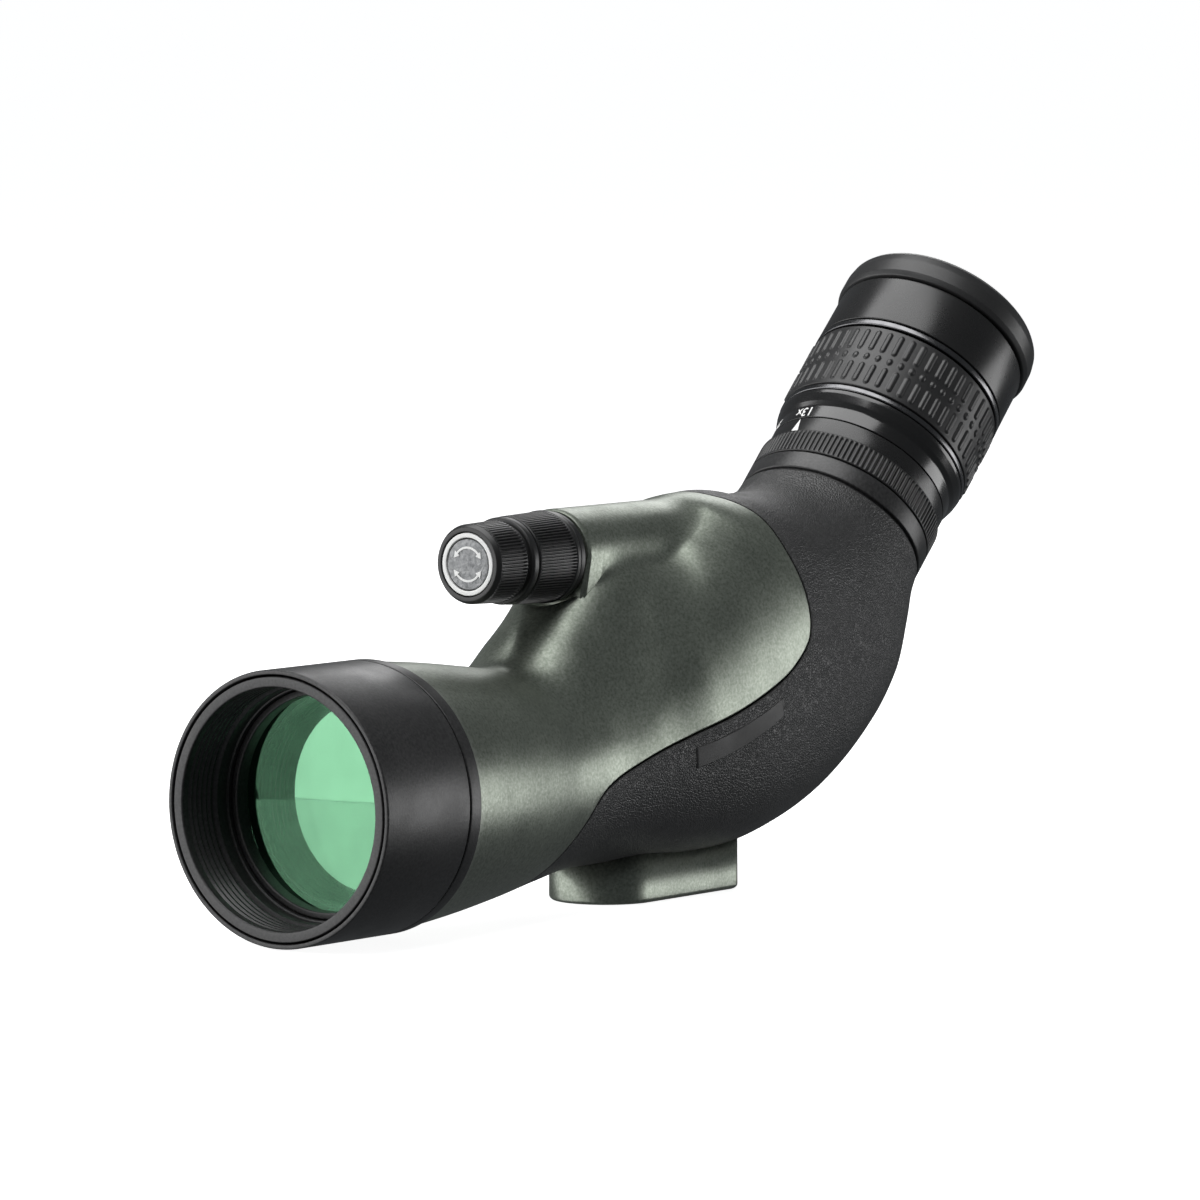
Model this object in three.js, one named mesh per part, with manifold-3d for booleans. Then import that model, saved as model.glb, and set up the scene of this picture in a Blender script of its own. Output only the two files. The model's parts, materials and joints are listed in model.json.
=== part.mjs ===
// Angled 50 mm spotting scope with a 45 degree zoom eyepiece, dual-speed focus and a tripod foot.
//
// The parts are drawn in optical coordinates: the optical axis is +Y and runs from the hood's front
// rim (Y = 0) to the rear, Z = 0 is on the axis and +Z is up. The outer group moves them so that the
// finished object stands on Z = 0 with its footprint centred on the origin.

import * as THREE from 'three';
import { mergeVertices } from 'three/addons/utils/BufferGeometryUtils.js';
import { ConvexGeometry } from 'three/addons/geometries/ConvexGeometry.js';
import Module from 'manifold-3d';

const { clamp, degToRad, lerp, smoothstep } = THREE.MathUtils;

const wasm = await Module();
wasm.setup();

// ---------------------------------------------------------------- driving dimensions (mm, degrees)

const CLEAR = 0.3;                 // gap between neighbouring pieces
const HOOD_R = 32;                 // outer radius of the hood and of the front ring
const HOOD_LENGTH = 30.7;
const HOOD_WALL = 1.1;
const APERTURE_R = 25;             // half of the 50 mm clear aperture
const LENS_R = 26.6;
const BODY_START = 35.3;           // where the green housing begins behind the front ring
const BEND_START = 120;            // the body's spine is straight up to here
const BEND_RADIUS = 120.7;         // and then turns through 45 degrees on this radius
const BEND = Math.PI / 4;
const NECK_S = 235.5;              // end of the neck, measured along the spine
const NECK_R = 24.6;
const ARMOUR = 1.6;                // thickness of the rubber armour
const WALL = 2.2;                  // thickness of the cast housing
const SPLIT_S = 206;               // joint between main and rear housing, under the armour
const KNOB_Z = 51.6;               // height of the focus knob's axis above the optical axis
const RIDGE_R = 11.2;              // knob ridge on top of the housing
const RIDGE_FRONT = 104.2;
const RIDGE_BACK = 168;
const PYLON_FOOT = [105, 26];      // capsule under the knob: lower end of its axis, as [Y, Z]
const PYLON_HEAD = [120, 49];
const PYLON_R = 9;
const BALL_COUNT = 3;              // balls of the focus reduction
const BALL_R = 1.6;
const BALL_ORBIT = 3.7;
const BALL_Y = 94.4;
const SHAFT_R = 2;                 // fine focus shaft
const SCREW_R = 2.5;               // focus lead screw
const CARRIAGE_Y = 122;            // front of the focusing lens cell at mid travel
const ROD_Z = 30;                  // guide rod's height above the optical axis
const FOOT_Z = -32.5;              // bottom face of the tripod foot
const FOOT_HALF_WIDTH = 13.6;
const FOOT_FRONT = 126.5;            // centre of the foot's round front end
const FOOT_REAR = 164;
const SOCKET_Y = 145;              // tripod thread
const FOOT_SCREWS = [121, 157];    // Y of the two screws that hold the foot
const PRISM_TOP = 16;              // height of the prism's top edge above the optical axis
const PRISM_SIDE = 27;             // length of its entry and exit faces
const PRISM_HALF_WIDTH = 9;
const ROOF_DEPTH = 5;
const PLATE = 2.8;                 // thickness of the prism's side plates
const PRISM_SCREW_Y = 158;
const BARREL_IN = 17.9;            // bore and outside of the fixed eyepiece barrel
const BARREL_OUT = 19;
const SHOULDER_R = 22.2;           // thick lower part of that barrel, under two rings
const CLAMP_FROM = 6.2;            // eyepiece pieces: where each begins along the eyepiece axis
const INDEX_FROM = 13.3;
const ZOOM_FROM = 18.1;
const GRIP_FROM = 28.4;
const SLEEVE_FROM = 50.2;
const LIP_FROM = 64.6;
const ZOOM_TURN = 120;             // degrees between the ends of the zoom scale
const PIN_T = 22;                  // zoom drive pin along the eyepiece axis
const EYECUP_END = 73;             // top of the eyecup along the eyepiece axis
const EYECUP_END_R = 25;
const EYE_BASE = new THREE.Vector3(0, 220, 50);   // neck end on the eyepiece axis
const RING_SEGMENTS = 24;
const SMALL_SEGMENTS = 16;

// Body sections along the spine: position, half width, height above the spine, depth below it,
// and how far above the spine the section is widest.
const SECTIONS = [
  [35, 31.5, 31.5, 31.5, 0],
  [52, 30.0, 30.0, 30.0, 0],
  [70, 27.8, 27.8, 27.8, 0],
  [84, 26.0, 26.0, 25.6, 0],
  [100, 25.0, 29.0, 23.4, 1],
  [115, 26.5, 38.0, 23.0, 4],
  [135, 29.5, 47.0, 25.0, 8],
  [160, 31.5, 52.8, 29.5, 8],
  [180, 31.5, 53.8, 32.0, 6],
  [200, 30.0, 48.5, 32.5, 3],
  [215, 27.5, 37.5, 31.0, 0],
  [225, 25.6, 28.5, 29.0, 0],
  [231, 24.8, 25.4, 26.3, 0],
  [NECK_S, NECK_R, NECK_R, NECK_R, 0],
];

// Front edge of the armour: angle round the section (-90 is the belly, 90 the top) and position.
const SEAM = [
  [-90, 71], [-50, 78], [-19, 86], [-4, 92], [8, 105], [19, 125], [23, 150],
  [25, 166], [30, 178], [40, 184], [55, 189.5], [71, 195.5], [90, 194],
];

// Columns of the body grid on one side, closer together where the armour's edge runs along the body.
const COLUMN_ANGLES = [-90, -66, -44, -24, -8, 6, 15, 20, 23, 26, 33, 43, 55, 66, 75, 81, 85.5, 90];

// ---------------------------------------------------------------- materials

function material(color, roughness, metalness = 0) {
  return new THREE.MeshStandardMaterial({ color, roughness, metalness });
}

const look = {
  green: () => material(0x6b7566, 0.45, 0.35),
  rubber: () => material(0x262728, 0.7),
  black: () => material(0x1d1e20, 0.45, 0.3),
  knob: () => material(0x17181a, 0.55, 0.2),
  white: () => material(0xe6e6e2, 0.5),
  grey: () => material(0x8d8f90, 0.55, 0.5),
  chrome: () => material(0xc9cacc, 0.2, 1),
  glass: () => material(0x3fbf86, 0.05),
  brass: () => material(0xb08d4a, 0.35, 0.9),
  steel: () => material(0x9a9da1, 0.3, 1),
  alloy: () => material(0x55585b, 0.5, 0.7),
};

// ---------------------------------------------------------------- helpers

function interpolator(rows, column) {
  // Monotone cubic through the rows, so that it never overshoots between two of them.
  const x = rows.map((row) => row[0]);
  const y = rows.map((row) => row[column]);
  const slope = x.slice(1).map((value, i) => (y[i + 1] - y[i]) / (value - x[i]));
  const tangent = x.map((_, i) => {
    if (i === 0) return slope[0];
    if (i === x.length - 1) return slope[i - 1];
    const product = slope[i - 1] * slope[i];
    return product <= 0 ? 0 : (2 * product) / (slope[i - 1] + slope[i]);
  });
  return (at) => {
    const value = clamp(at, x[0], x[x.length - 1]);
    let i = 0;
    while (i < x.length - 2 && value > x[i + 1]) i += 1;
    const span = x[i + 1] - x[i];
    const t = (value - x[i]) / span;
    const a = y[i] * (1 + 2 * t) * (1 - t) ** 2 + y[i + 1] * t * t * (3 - 2 * t);
    return a + span * (tangent[i] * t * (1 - t) ** 2 - tangent[i + 1] * t * t * (1 - t));
  };
}

function signedVolume(geometry) {
  const p = geometry.attributes.position;
  const index = geometry.index.array;
  const a = new THREE.Vector3();
  const b = new THREE.Vector3();
  const c = new THREE.Vector3();
  let volume = 0;
  for (let i = 0; i < index.length; i += 3) {
    a.fromBufferAttribute(p, index[i]);
    b.fromBufferAttribute(p, index[i + 1]);
    c.fromBufferAttribute(p, index[i + 2]);
    volume += a.dot(b.cross(c)) / 6;
  }
  return volume;
}

function closed(geometry) {
  // One merged vertex per corner, no empty triangles, and faces that point out.
  const bare = geometry.clone();
  bare.deleteAttribute('normal');
  bare.deleteAttribute('uv');
  const merged = mergeVertices(bare, 1e-4);
  const source = merged.index.array;
  const kept = [];
  for (let i = 0; i < source.length; i += 3) {
    const [a, b, c] = source.slice(i, i + 3);
    if (a !== b && b !== c && c !== a) kept.push(a, b, c);
  }
  merged.setIndex(kept);
  if (signedVolume(merged) < 0) merged.setIndex(kept.reverse());
  return merged;
}

function solid(geometry) {
  const merged = closed(geometry);
  return new wasm.Manifold(new wasm.Mesh({
    numProp: 3,
    vertProperties: Float32Array.from(merged.attributes.position.array),
    triVerts: Uint32Array.from(merged.index.array),
  }));
}

function geometryOf(manifold) {
  const mesh = manifold.getMesh();
  const geometry = new THREE.BufferGeometry();
  const positions = Float32Array.from(mesh.vertProperties);
  geometry.setAttribute('position', new THREE.BufferAttribute(positions, 3));
  geometry.setIndex(new THREE.BufferAttribute(Uint32Array.from(mesh.triVerts), 1));
  return geometry;
}

// A ring or disc turned about the local Y axis. Profile points are [radius, along the axis].
function turned(profile, segments = RING_SEGMENTS) {
  const points = profile.map(([r, y]) => new THREE.Vector2(r, y));
  const onAxis = profile[0][0] === 0 && profile[profile.length - 1][0] === 0;
  if (!onAxis) points.push(points[0].clone());
  return closed(new THREE.LatheGeometry(points, segments));
}

function sleeve(inner, outer, from, to, segments = RING_SEGMENTS) {
  return turned([[inner, from], [outer, from], [outer, to], [inner, to]], segments);
}

function rod(radius, from, to, segments = SMALL_SEGMENTS) {
  return turned([[0, from], [radius, from], [radius, to], [0, to]], segments);
}

function moved(geometry, x, y, z) {
  return geometry.clone().translate(x, y, z);
}

// A cylinder along Y with its axis at a height above the optical axis.
function boreAt(z, radius, from, to, segments = 20) {
  return solid(moved(rod(radius, from, to, segments), 0, 0, z));
}

function block(x0, x1, y0, y1, z0, z1) {
  const geometry = new THREE.BoxGeometry(x1 - x0, y1 - y0, z1 - z0);
  return geometry.translate((x0 + x1) / 2, (y0 + y1) / 2, (z0 + z1) / 2);
}

// A spherical cap's depth at a given radius.
function sag(curvature, radius) {
  return curvature - Math.sqrt(curvature * curvature - radius * radius);
}

// A lens: each surface has the centre's position and a radius of curvature, positive when the
// centre of curvature lies behind it, and Infinity for a flat.
function lens(radius, front, frontCurve, back, backCurve) {
  const steps = 2;
  const profile = [];
  const depth = (curve, r) => {
    if (!Number.isFinite(curve)) return 0;
    return Math.sign(curve) * sag(Math.abs(curve), r);
  };
  for (let i = 0; i <= steps; i += 1) {
    const r = (radius * i) / steps;
    profile.push([r, front + depth(frontCurve, r)]);
  }
  for (let i = steps; i >= 0; i -= 1) {
    const r = (radius * i) / steps;
    profile.push([r, back + depth(backCurve, r)]);
  }
  return turned(profile, SMALL_SEGMENTS);
}

// ---------------------------------------------------------------- the body's outer surface

const halfWidth = interpolator(SECTIONS, 1);
const heightAbove = interpolator(SECTIONS, 2);
const depthBelow = interpolator(SECTIONS, 3);
const widestAt = interpolator(SECTIONS, 4);
const seamAt = interpolator(SEAM, 1);

function smoothMin(a, b, k) {
  const h = clamp(0.5 + (0.5 * (b - a)) / k, 0, 1);
  return b * (1 - h) + a * h - k * h * (1 - h);
}

// The spine: its point and its tilt at a position along it.
function spine(s) {
  const tilt = clamp((s - BEND_START) / BEND_RADIUS, 0, BEND);
  const straight = Math.min(s, BEND_START);
  const past = Math.max(0, s - BEND_START - BEND_RADIUS * BEND);
  return {
    tilt,
    y: straight + BEND_RADIUS * Math.sin(tilt) + past * Math.cos(BEND),
    z: BEND_RADIUS * (1 - Math.cos(tilt)) + past * Math.sin(BEND),
  };
}

// Approximate distance from the body's surface, negative inside, at x across and h up a section.
function bodyDistance(s, x, h) {
  const { tilt, y: spineY, z: spineZ } = spine(s);
  const w = halfWidth(s);
  const below = depthBelow(s);
  const widest = widestAt(s);
  const up = h > widest
    ? (h - widest) / (heightAbove(s) - widest)
    : (widest - h) / (below + widest);
  const boxy = clamp((s - 100) / 40, 0, 1) * clamp((232 - s) / 20, 0, 1);
  const n = 2 + 0.35 * boxy;
  const shell = ((Math.abs(x / w) ** n + up ** n) ** (1 / n) - 1) * Math.min(w, below);

  const y = spineY - h * Math.sin(tilt);
  const z = spineZ + h * Math.cos(tilt);
  const dy = PYLON_HEAD[0] - PYLON_FOOT[0];
  const dz = PYLON_HEAD[1] - PYLON_FOOT[1];
  const along = ((y - PYLON_FOOT[0]) * dy + (z - PYLON_FOOT[1]) * dz) / (dy * dy + dz * dz);
  const t = clamp(along, 0, 1);
  const pylon = Math.hypot(x, y - PYLON_FOOT[0] - t * dy, z - PYLON_FOOT[1] - t * dz) - PYLON_R;

  const side = Math.hypot(x, z - KNOB_Z, Math.max(0, y - RIDGE_BACK)) - RIDGE_R;
  const ahead = RIDGE_FRONT - y;
  const ridge = ahead > 0 && side > 0 ? Math.hypot(side, ahead) : Math.max(side, ahead);
  return smoothMin(smoothMin(shell, pylon, 14), ridge, 3.5);
}

// Distance from the spine to the surface, or to the same surface drawn in by `inset`.
function bodyRadius(s, angle, inset) {
  const u = Math.cos(angle);
  const v = Math.sin(angle);
  let outside = 80;
  while (bodyDistance(s, outside * u, outside * v) + inset > 0) outside -= 0.5;
  let inside = outside;
  outside += 0.5;
  for (let i = 0; i < 14; i += 1) {
    const middle = (inside + outside) / 2;
    if (bodyDistance(s, middle * u, middle * v) + inset > 0) outside = middle;
    else inside = middle;
  }
  return inside;
}

function bodyPoint(s, angle, inset) {
  const r = bodyRadius(s, angle, inset);
  const { tilt, y, z } = spine(s);
  const up = r * Math.sin(angle);
  return [r * Math.cos(angle), y - up * Math.sin(tilt), z + up * Math.cos(tilt)];
}

const columns = [
  ...COLUMN_ANGLES,
  ...COLUMN_ANGLES.slice(1, -1).reverse().map((angle) => 180 - angle),
].map((angle) => {
  const mirrored = angle > 90 ? 180 - angle : angle;
  const edge = seamAt(mirrored + 2) + CLEAR;
  return { angle: degToRad(angle), seam: seamAt(mirrored), edge };
});

// A closed shell: `outer` and `inner` give each column's list of [s, inset], front to back. With
// no inner list the ends are closed by caps, which makes a solid.
function bodyShell(outer, inner) {
  const vertices = [];
  const rows = [];
  const addRows = (list) => {
    const perColumn = columns.map(list);
    perColumn[0].forEach((_, i) => {
      rows.push(columns.map((column, j) => {
        const [s, inset] = perColumn[j][i];
        vertices.push(...bodyPoint(s, column.angle, inset));
        return vertices.length / 3 - 1;
      }));
    });
  };
  addRows(outer);
  if (inner) addRows((column) => inner(column).reverse());
  const index = [];
  const quad = (a, b, c, d) => index.push(a, b, c, a, c, d);
  const last = inner ? rows.length : rows.length - 1;
  for (let i = 0; i < last; i += 1) {
    const row = rows[i];
    const next = rows[(i + 1) % rows.length];
    row.forEach((_, j) => {
      const k = (j + 1) % row.length;
      quad(row[j], row[k], next[k], next[j]);
    });
  }
  if (!inner) {
    for (let j = 1; j < columns.length - 1; j += 1) {
      index.push(rows[0][0], rows[0][j + 1], rows[0][j]);
      index.push(rows[last][0], rows[last][j], rows[last][j + 1]);
    }
  }
  const geometry = new THREE.BufferGeometry();
  geometry.setAttribute('position', new THREE.Float32BufferAttribute(vertices, 3));
  geometry.setIndex(index);
  return closed(geometry);
}

function stations(from, to, count) {
  return Array.from({ length: count }, (_, i) => lerp(from, to, i / (count - 1)));
}

// Rows of the main housing: a pair of rows marks the ridge's upright front face.
function housingRows(faceAt, before, after) {
  return [
    ...stations(BODY_START, faceAt - 0.05, before),
    ...stations(faceAt + 0.05, SPLIT_S, after),
  ];
}

// ---------------------------------------------------------------- scene graph

const scope = new THREE.Group();
const optical = new THREE.Group();
const eyepiece = new THREE.Group();
const knobAxis = new THREE.Group();
eyepiece.position.copy(EYE_BASE);
eyepiece.rotation.x = BEND;
knobAxis.position.z = KNOB_Z;
optical.add(eyepiece, knobAxis);
scope.add(optical);

function put(group, name, geometry, surface) {
  const mesh = new THREE.Mesh(closed(geometry), surface());
  mesh.name = name;
  group.add(mesh);
}

// ---------------------------------------------------------------- hood and objective

function addObjective() {
  const bore = HOOD_R - HOOD_WALL;
  const lipStart = HOOD_LENGTH - 4;
  put(optical, 'hood_sleeve', turned([
    [bore, 0], [HOOD_R, 0], [HOOD_R, HOOD_LENGTH], [30.2, HOOD_LENGTH], [30.2, 29.5],
    [31.2, 29.5], [31.2, 28], [30.2, 28], [30.2, lipStart], [bore, lipStart],
  ]), look.black);
  const circle = stations(0, 2 * Math.PI, 7).slice(0, 6);
  put(optical, 'hood_o_ring', turned(
    circle.map((a) => [30.5 + 0.55 * Math.cos(a), 28.75 + 0.55 * Math.sin(a)])), look.rubber);
  put(optical, 'front_ring', turned([
    [28, 31.1], [HOOD_R, 31.1], [HOOD_R, 35], [28, 35],
  ]), look.black);

  // Bore with anti-reflection ridges, then two plain steps down to the lens seat.
  const front = 0.05;
  const seatR = LENS_R + CLEAR;
  const bored = [
    [30.5, front], [30.5, 4], [29.8, 4], [29.8, 30.9], [27.6, 30.9], [27.6, 42], [26, 42], [26, 58],
    [24.4, 58], [24.4, 31.4], [seatR, 31.4], [seatR, 15.7], [27.4, 15.7], [27.4, 12],
  ];
  const crest = 28;
  const ridges = 3;
  const pitch = 3.5;
  for (let i = ridges; i > 0; i -= 1) {
    const y = 1.3 + pitch * i;
    bored.push([crest + 0.7, y - 0.1], [crest, y - pitch * 0.6]);
  }
  bored.push([crest, front]);
  put(optical, 'objective_tube', turned(bored), look.black);

  put(optical, 'objective_retainer', sleeve(APERTURE_R + 0.1, LENS_R, 16.6, 20.5), look.black);
  put(optical, 'objective_front_lens', lens(LENS_R, 18.3, 120, 26.5, -160), look.glass);
  put(optical, 'lens_spacer', sleeve(25.3, LENS_R, 24.75, 25.25, 32), look.alloy);
  put(optical, 'objective_rear_lens', lens(LENS_R, 27.4, -190, 30.9, Infinity), look.glass);
}

// ---------------------------------------------------------------- housing, armour and foot

function footOutline(grow, from, to) {
  // Round front end, straight sides and small round rear corners.
  const half = FOOT_HALF_WIDTH + grow;
  const corner = 2.5;
  const rear = FOOT_REAR + grow;
  const shape = new THREE.Shape();
  shape.absarc(0, -FOOT_FRONT, half, 0, Math.PI, false);
  shape.absarc(-half + corner, -rear + corner, corner, Math.PI, 1.5 * Math.PI, false);
  shape.absarc(half - corner, -rear + corner, corner, 1.5 * Math.PI, 2 * Math.PI, false);
  const geometry = new THREE.ExtrudeGeometry(shape, {
    depth: to - from, bevelEnabled: false, curveSegments: 8,
  });
  return geometry.scale(1, -1, 1).translate(0, 0, from);
}

// An upright hole in the foot or the housing.
function screwHole(y, radius, from, to) {
  return solid(rod(radius, from, to, 12).rotateX(Math.PI / 2).translate(0, y, 0));
}

// Rows of the armour, from its front edge on this column to the neck.
function armourRows(column, inset) {
  return stations(column.edge, NECK_S - 0.1, 9).map((s) => [s, inset]);
}

function addBody() {
  const core = ARMOUR + CLEAR;

  // The armour lies in a step that is cut all round both housings. The cut is the armour's own
  // shape, grown by the gap and carried on past the neck.
  const past = NECK_S + 2;
  const step = solid(bodyShell(
    (column) => [[column.seam, -2], ...armourRows(column, -2), [past, -2]],
    (column) => [[column.seam, core], ...armourRows(column, core), [past, core]],
  ));
  const covered = (column, s) => smoothstep(s, column.seam - 12, column.seam - 2);
  const shaftHole = boreAt(KNOB_Z, 6.5, 96, 113);
  const knobRecess = boreAt(KNOB_Z, RIDGE_R + 0.4, 60, RIDGE_FRONT, 32);
  let housing = solid(bodyShell(
    () => housingRows(RIDGE_FRONT, 6, 9).map((s) => [s, 0]),
    (column) => housingRows(RIDGE_FRONT + WALL, 6, 9)
      .map((s) => [s, WALL + core * covered(column, s)]),
  ));
  housing = housing.subtract(step).subtract(shaftHole).subtract(knobRecess);
  FOOT_SCREWS.forEach((y) => {
    housing = housing.subtract(screwHole(y, 1.8, -30, -10));
  });
  put(optical, 'main_housing', geometryOf(housing), look.green);

  const neckRows = () => stations(SPLIT_S + CLEAR, NECK_S - 0.1, 4);
  const neck = solid(bodyShell(
    () => neckRows().map((s) => [s, 0.5]),
    () => neckRows().map((s) => [s, core + WALL]),
  ));
  put(optical, 'rear_housing', geometryOf(neck.subtract(step)), look.alloy);

  const skin = bodyShell((column) => armourRows(column, 0), (column) => armourRows(column, ARMOUR));
  const armour = solid(skin).subtract(solid(footOutline(CLEAR, FOOT_Z, -12)));
  put(optical, 'rubber_armour', geometryOf(armour), look.rubber);

  // Foot: its top follows the housing that it is bolted to.
  const seat = solid(bodyShell((column) => armourRows(column, ARMOUR)));
  let foot = solid(footOutline(0, FOOT_Z, -14)).subtract(seat);
  foot = foot.subtract(screwHole(SOCKET_Y, 5.3, -40, -24.5));
  FOOT_SCREWS.forEach((y) => {
    foot = foot.subtract(screwHole(y, 1.8, -40, -10));
    foot = foot.subtract(screwHole(y, 3.3, -40, -28.4));
  });
  put(optical, 'tripod_foot', geometryOf(foot), look.green);

  const upright = (geometry, y) => geometry.rotateX(Math.PI / 2).translate(0, y, 0);
  const insert = sleeve(3.1, 5, FOOT_Z, -24.9, SMALL_SEGMENTS);
  put(optical, 'thread_insert', upright(insert, SOCKET_Y), look.steel);
  FOOT_SCREWS.forEach((y, i) => {
    const screw = turned([
      [0, -32], [3, -32], [3, -28.8], [1.5, -28.8], [1.5, -19.4], [0, -19.4],
    ], 12);
    put(optical, `foot_screw_${i + 1}`, upright(screw, y), look.steel);
  });
}

// ---------------------------------------------------------------- dual-speed focus

function addKnobs() {
  put(knobAxis, 'knob_seat_ring', sleeve(6.6, 10.7, 102.4, 103.9), look.knob);
  put(knobAxis, 'race_sleeve', turned([
    [5.4, 91], [6.2, 91], [6.2, 112], [3.3, 112], [3.3, 98.5], [5.4, 98.5],
  ], SMALL_SEGMENTS), look.steel);
  put(knobAxis, 'coarse_knob', turned([
    [2.6, 86.6], [10.5, 86.6], [10.9, 100.6], [11.1, 100.6], [11.1, 101.9], [8.9, 101.9], [8.9, 88.8],
    [2.6, 88.8],
  ]), look.knob);
  put(knobAxis, 'fine_knob', turned([
    [0, 73.4], [7.7, 73.4], [7.7, 71.6], [8.8, 71.6], [9.5, 72.7], [9.8, 82.5], [9, 82.5], [9, 84.1],
    [10.4, 84.1], [10.4, 86.3], [8.3, 86.3], [8.3, 77],
    [3.8, 77], [3.8, 82], [2.3, 82], [2.3, 74.6], [0, 74.6],
  ]), look.knob);
  put(knobAxis, 'cap_ring', sleeve(6.3, 7.4, 71.7, 73.1), look.white);
  put(knobAxis, 'cap_disc', rod(6, 71.9, 73.1, 32), look.grey);
  put(knobAxis, 'fine_shaft', rod(SHAFT_R, 74.9, 96.4), look.steel);

  // Lead screw: its head carries three prongs that stand between the balls and reach the coarse knob.
  let screw = solid(turned([
    [0, 96.9], [5.1, 96.9], [5.1, 98.2], [3, 98.2], [3, 112], [SCREW_R, 112], [SCREW_R, 154.5], [0, 154.5],
  ], 20));
  for (let i = 0; i < BALL_COUNT; i += 1) {
    const turn = (2 * Math.PI * (i + 0.5)) / BALL_COUNT;
    screw = screw.add(solid(block(2.85, 4.65, 89.1, 97.4, -1, 1).rotateY(turn)));
  }
  put(knobAxis, 'focus_screw', geometryOf(screw), look.steel);
  for (let i = 0; i < BALL_COUNT; i += 1) {
    const turn = (2 * Math.PI * i) / BALL_COUNT;
    const ball = new THREE.SphereGeometry(BALL_R, 8, 6).translate(BALL_ORBIT, BALL_Y, 0).rotateY(turn);
    put(knobAxis, `reduction_ball_${i + 1}`, ball, look.steel);
  }
}

function addCarriage() {
  const y = CARRIAGE_Y;
  put(knobAxis, 'focus_nut', sleeve(2.8, 4.8, y + 0.5, y + 6.5, SMALL_SEGMENTS), look.brass);
  let carriage = solid(sleeve(15.9, 17.4, y, y + 7));
  carriage = carriage.add(solid(block(-3, 3, y, y + 7, 16.6, KNOB_Z)));
  carriage = carriage.add(boreAt(KNOB_Z, 7, y, y + 7));
  carriage = carriage.subtract(boreAt(KNOB_Z, 5.1, y - 1, y + 8));
  carriage = carriage.subtract(boreAt(ROD_Z, 1.8, y - 1, y + 8, 12));
  put(optical, 'focus_carriage', geometryOf(carriage), look.black);
  put(optical, 'focusing_lens', lens(15.6, y + 2.4, -90, y + 4.6, 90), look.glass);
  put(optical, 'guide_rod', moved(rod(1.5, 113.5, 153.3, 12), 0, 0, ROD_Z), look.steel);

  let front = solid(block(-5.5, 5.5, 113.2, 115.2, 26, 54.5));
  front = front.subtract(boreAt(KNOB_Z, 2.9, 112, 116)).subtract(boreAt(ROD_Z, 1.8, 112, 116, 12));
  put(optical, 'front_bearing_plate', geometryOf(front), look.alloy);
  let bench = solid(block(-12.6, 12.6, 151, 153, -12.8, 20));
  bench = bench.add(solid(block(-7, 7, 151, 153, 18, 57)));
  bench = bench.subtract(boreAt(0, 12.4, 150, 154, 32));
  bench = bench.subtract(boreAt(KNOB_Z, 2.9, 150, 154)).subtract(boreAt(ROD_Z, 1.8, 150, 154, 12));
  put(optical, 'optical_bench_plate', geometryOf(bench), look.alloy);
}

// ---------------------------------------------------------------- erecting prism

// Turns an outline drawn in (Y, Z) and extruded along its own third axis to stand across X.
function acrossX(geometry) {
  const basis = new THREE.Matrix4().makeBasis(
    new THREE.Vector3(0, 1, 0), new THREE.Vector3(0, 0, 1), new THREE.Vector3(1, 0, 0));
  return geometry.applyMatrix4(basis);
}

function addPrism() {
  // The entry and exit faces meet at the top at 45 degrees, placed so that the axis leaves on the
  // eyepiece axis. The roof closes the third side, with its edge ground flat.
  const top = [EYE_BASE.y - EYE_BASE.z - PRISM_TOP * (Math.SQRT2 - 1), PRISM_TOP];
  const entry = [top[0], top[1] - PRISM_SIDE];
  const exit = [top[0] + PRISM_SIDE * Math.SQRT1_2, top[1] - PRISM_SIDE * Math.SQRT1_2];
  const roofTilt = Math.PI / 8;
  const roof = ([y, z]) => [y + ROOF_DEPTH * Math.sin(roofTilt), z - ROOF_DEPTH * Math.cos(roofTilt)];
  const points = [];
  [-1, 1].forEach((side) => {
    [top, entry, exit].forEach(([y, z]) => {
      points.push(new THREE.Vector3(side * PRISM_HALF_WIDTH, y, z));
    });
    [roof(entry), roof(exit)].forEach(([y, z]) => {
      points.push(new THREE.Vector3(side * 3, y, z));
    });
  });
  put(optical, 'roof_prism', new ConvexGeometry(points), look.glass);

  const inside = PRISM_HALF_WIDTH + CLEAR;
  const plateTop = top[1] + 0.2;
  const outline = new THREE.Shape([
    new THREE.Vector2(153.4, plateTop), new THREE.Vector2(153.4, -11),
    new THREE.Vector2(entry[0] + 3, -13), new THREE.Vector2(exit[0] + 1, -6),
    new THREE.Vector2(exit[0] + 1, exit[1]), new THREE.Vector2(top[0] + 5, plateTop),
  ]);
  const screwX = inside + PLATE / 2;
  const upright = (geometry, x) => geometry.rotateX(Math.PI / 2).translate(x, PRISM_SCREW_Y, 0);
  const reach = inside + PLATE;
  let bridge = solid(block(-reach, reach, 154, top[0] + 4, plateTop + CLEAR, plateTop + 2));
  [['left', -1], ['right', 1]].forEach(([side, sign]) => {
    const bore = solid(upright(rod(1.1, plateTop - 7, plateTop + 3, 10), sign * screwX));
    const plate = acrossX(new THREE.ExtrudeGeometry(outline, { depth: PLATE, bevelEnabled: false }));
    plate.translate(sign > 0 ? inside : -reach, 0, 0);
    put(optical, `prism_plate_${side}`, geometryOf(solid(plate).subtract(bore)), look.alloy);
    bridge = bridge.subtract(bore);
    const screw = turned([
      [0, plateTop - 6], [0.8, plateTop - 6], [0.8, plateTop + 2.3], [1.3, plateTop + 2.3],
      [1.3, plateTop + 3.5], [0, plateTop + 3.5],
    ], 10);
    put(optical, `prism_screw_${side}`, upright(screw, sign * screwX), look.steel);
  });
  put(optical, 'prism_clamp', geometryOf(bridge), look.steel);
}

// ---------------------------------------------------------------- eyepiece (local Y along its axis)

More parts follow.
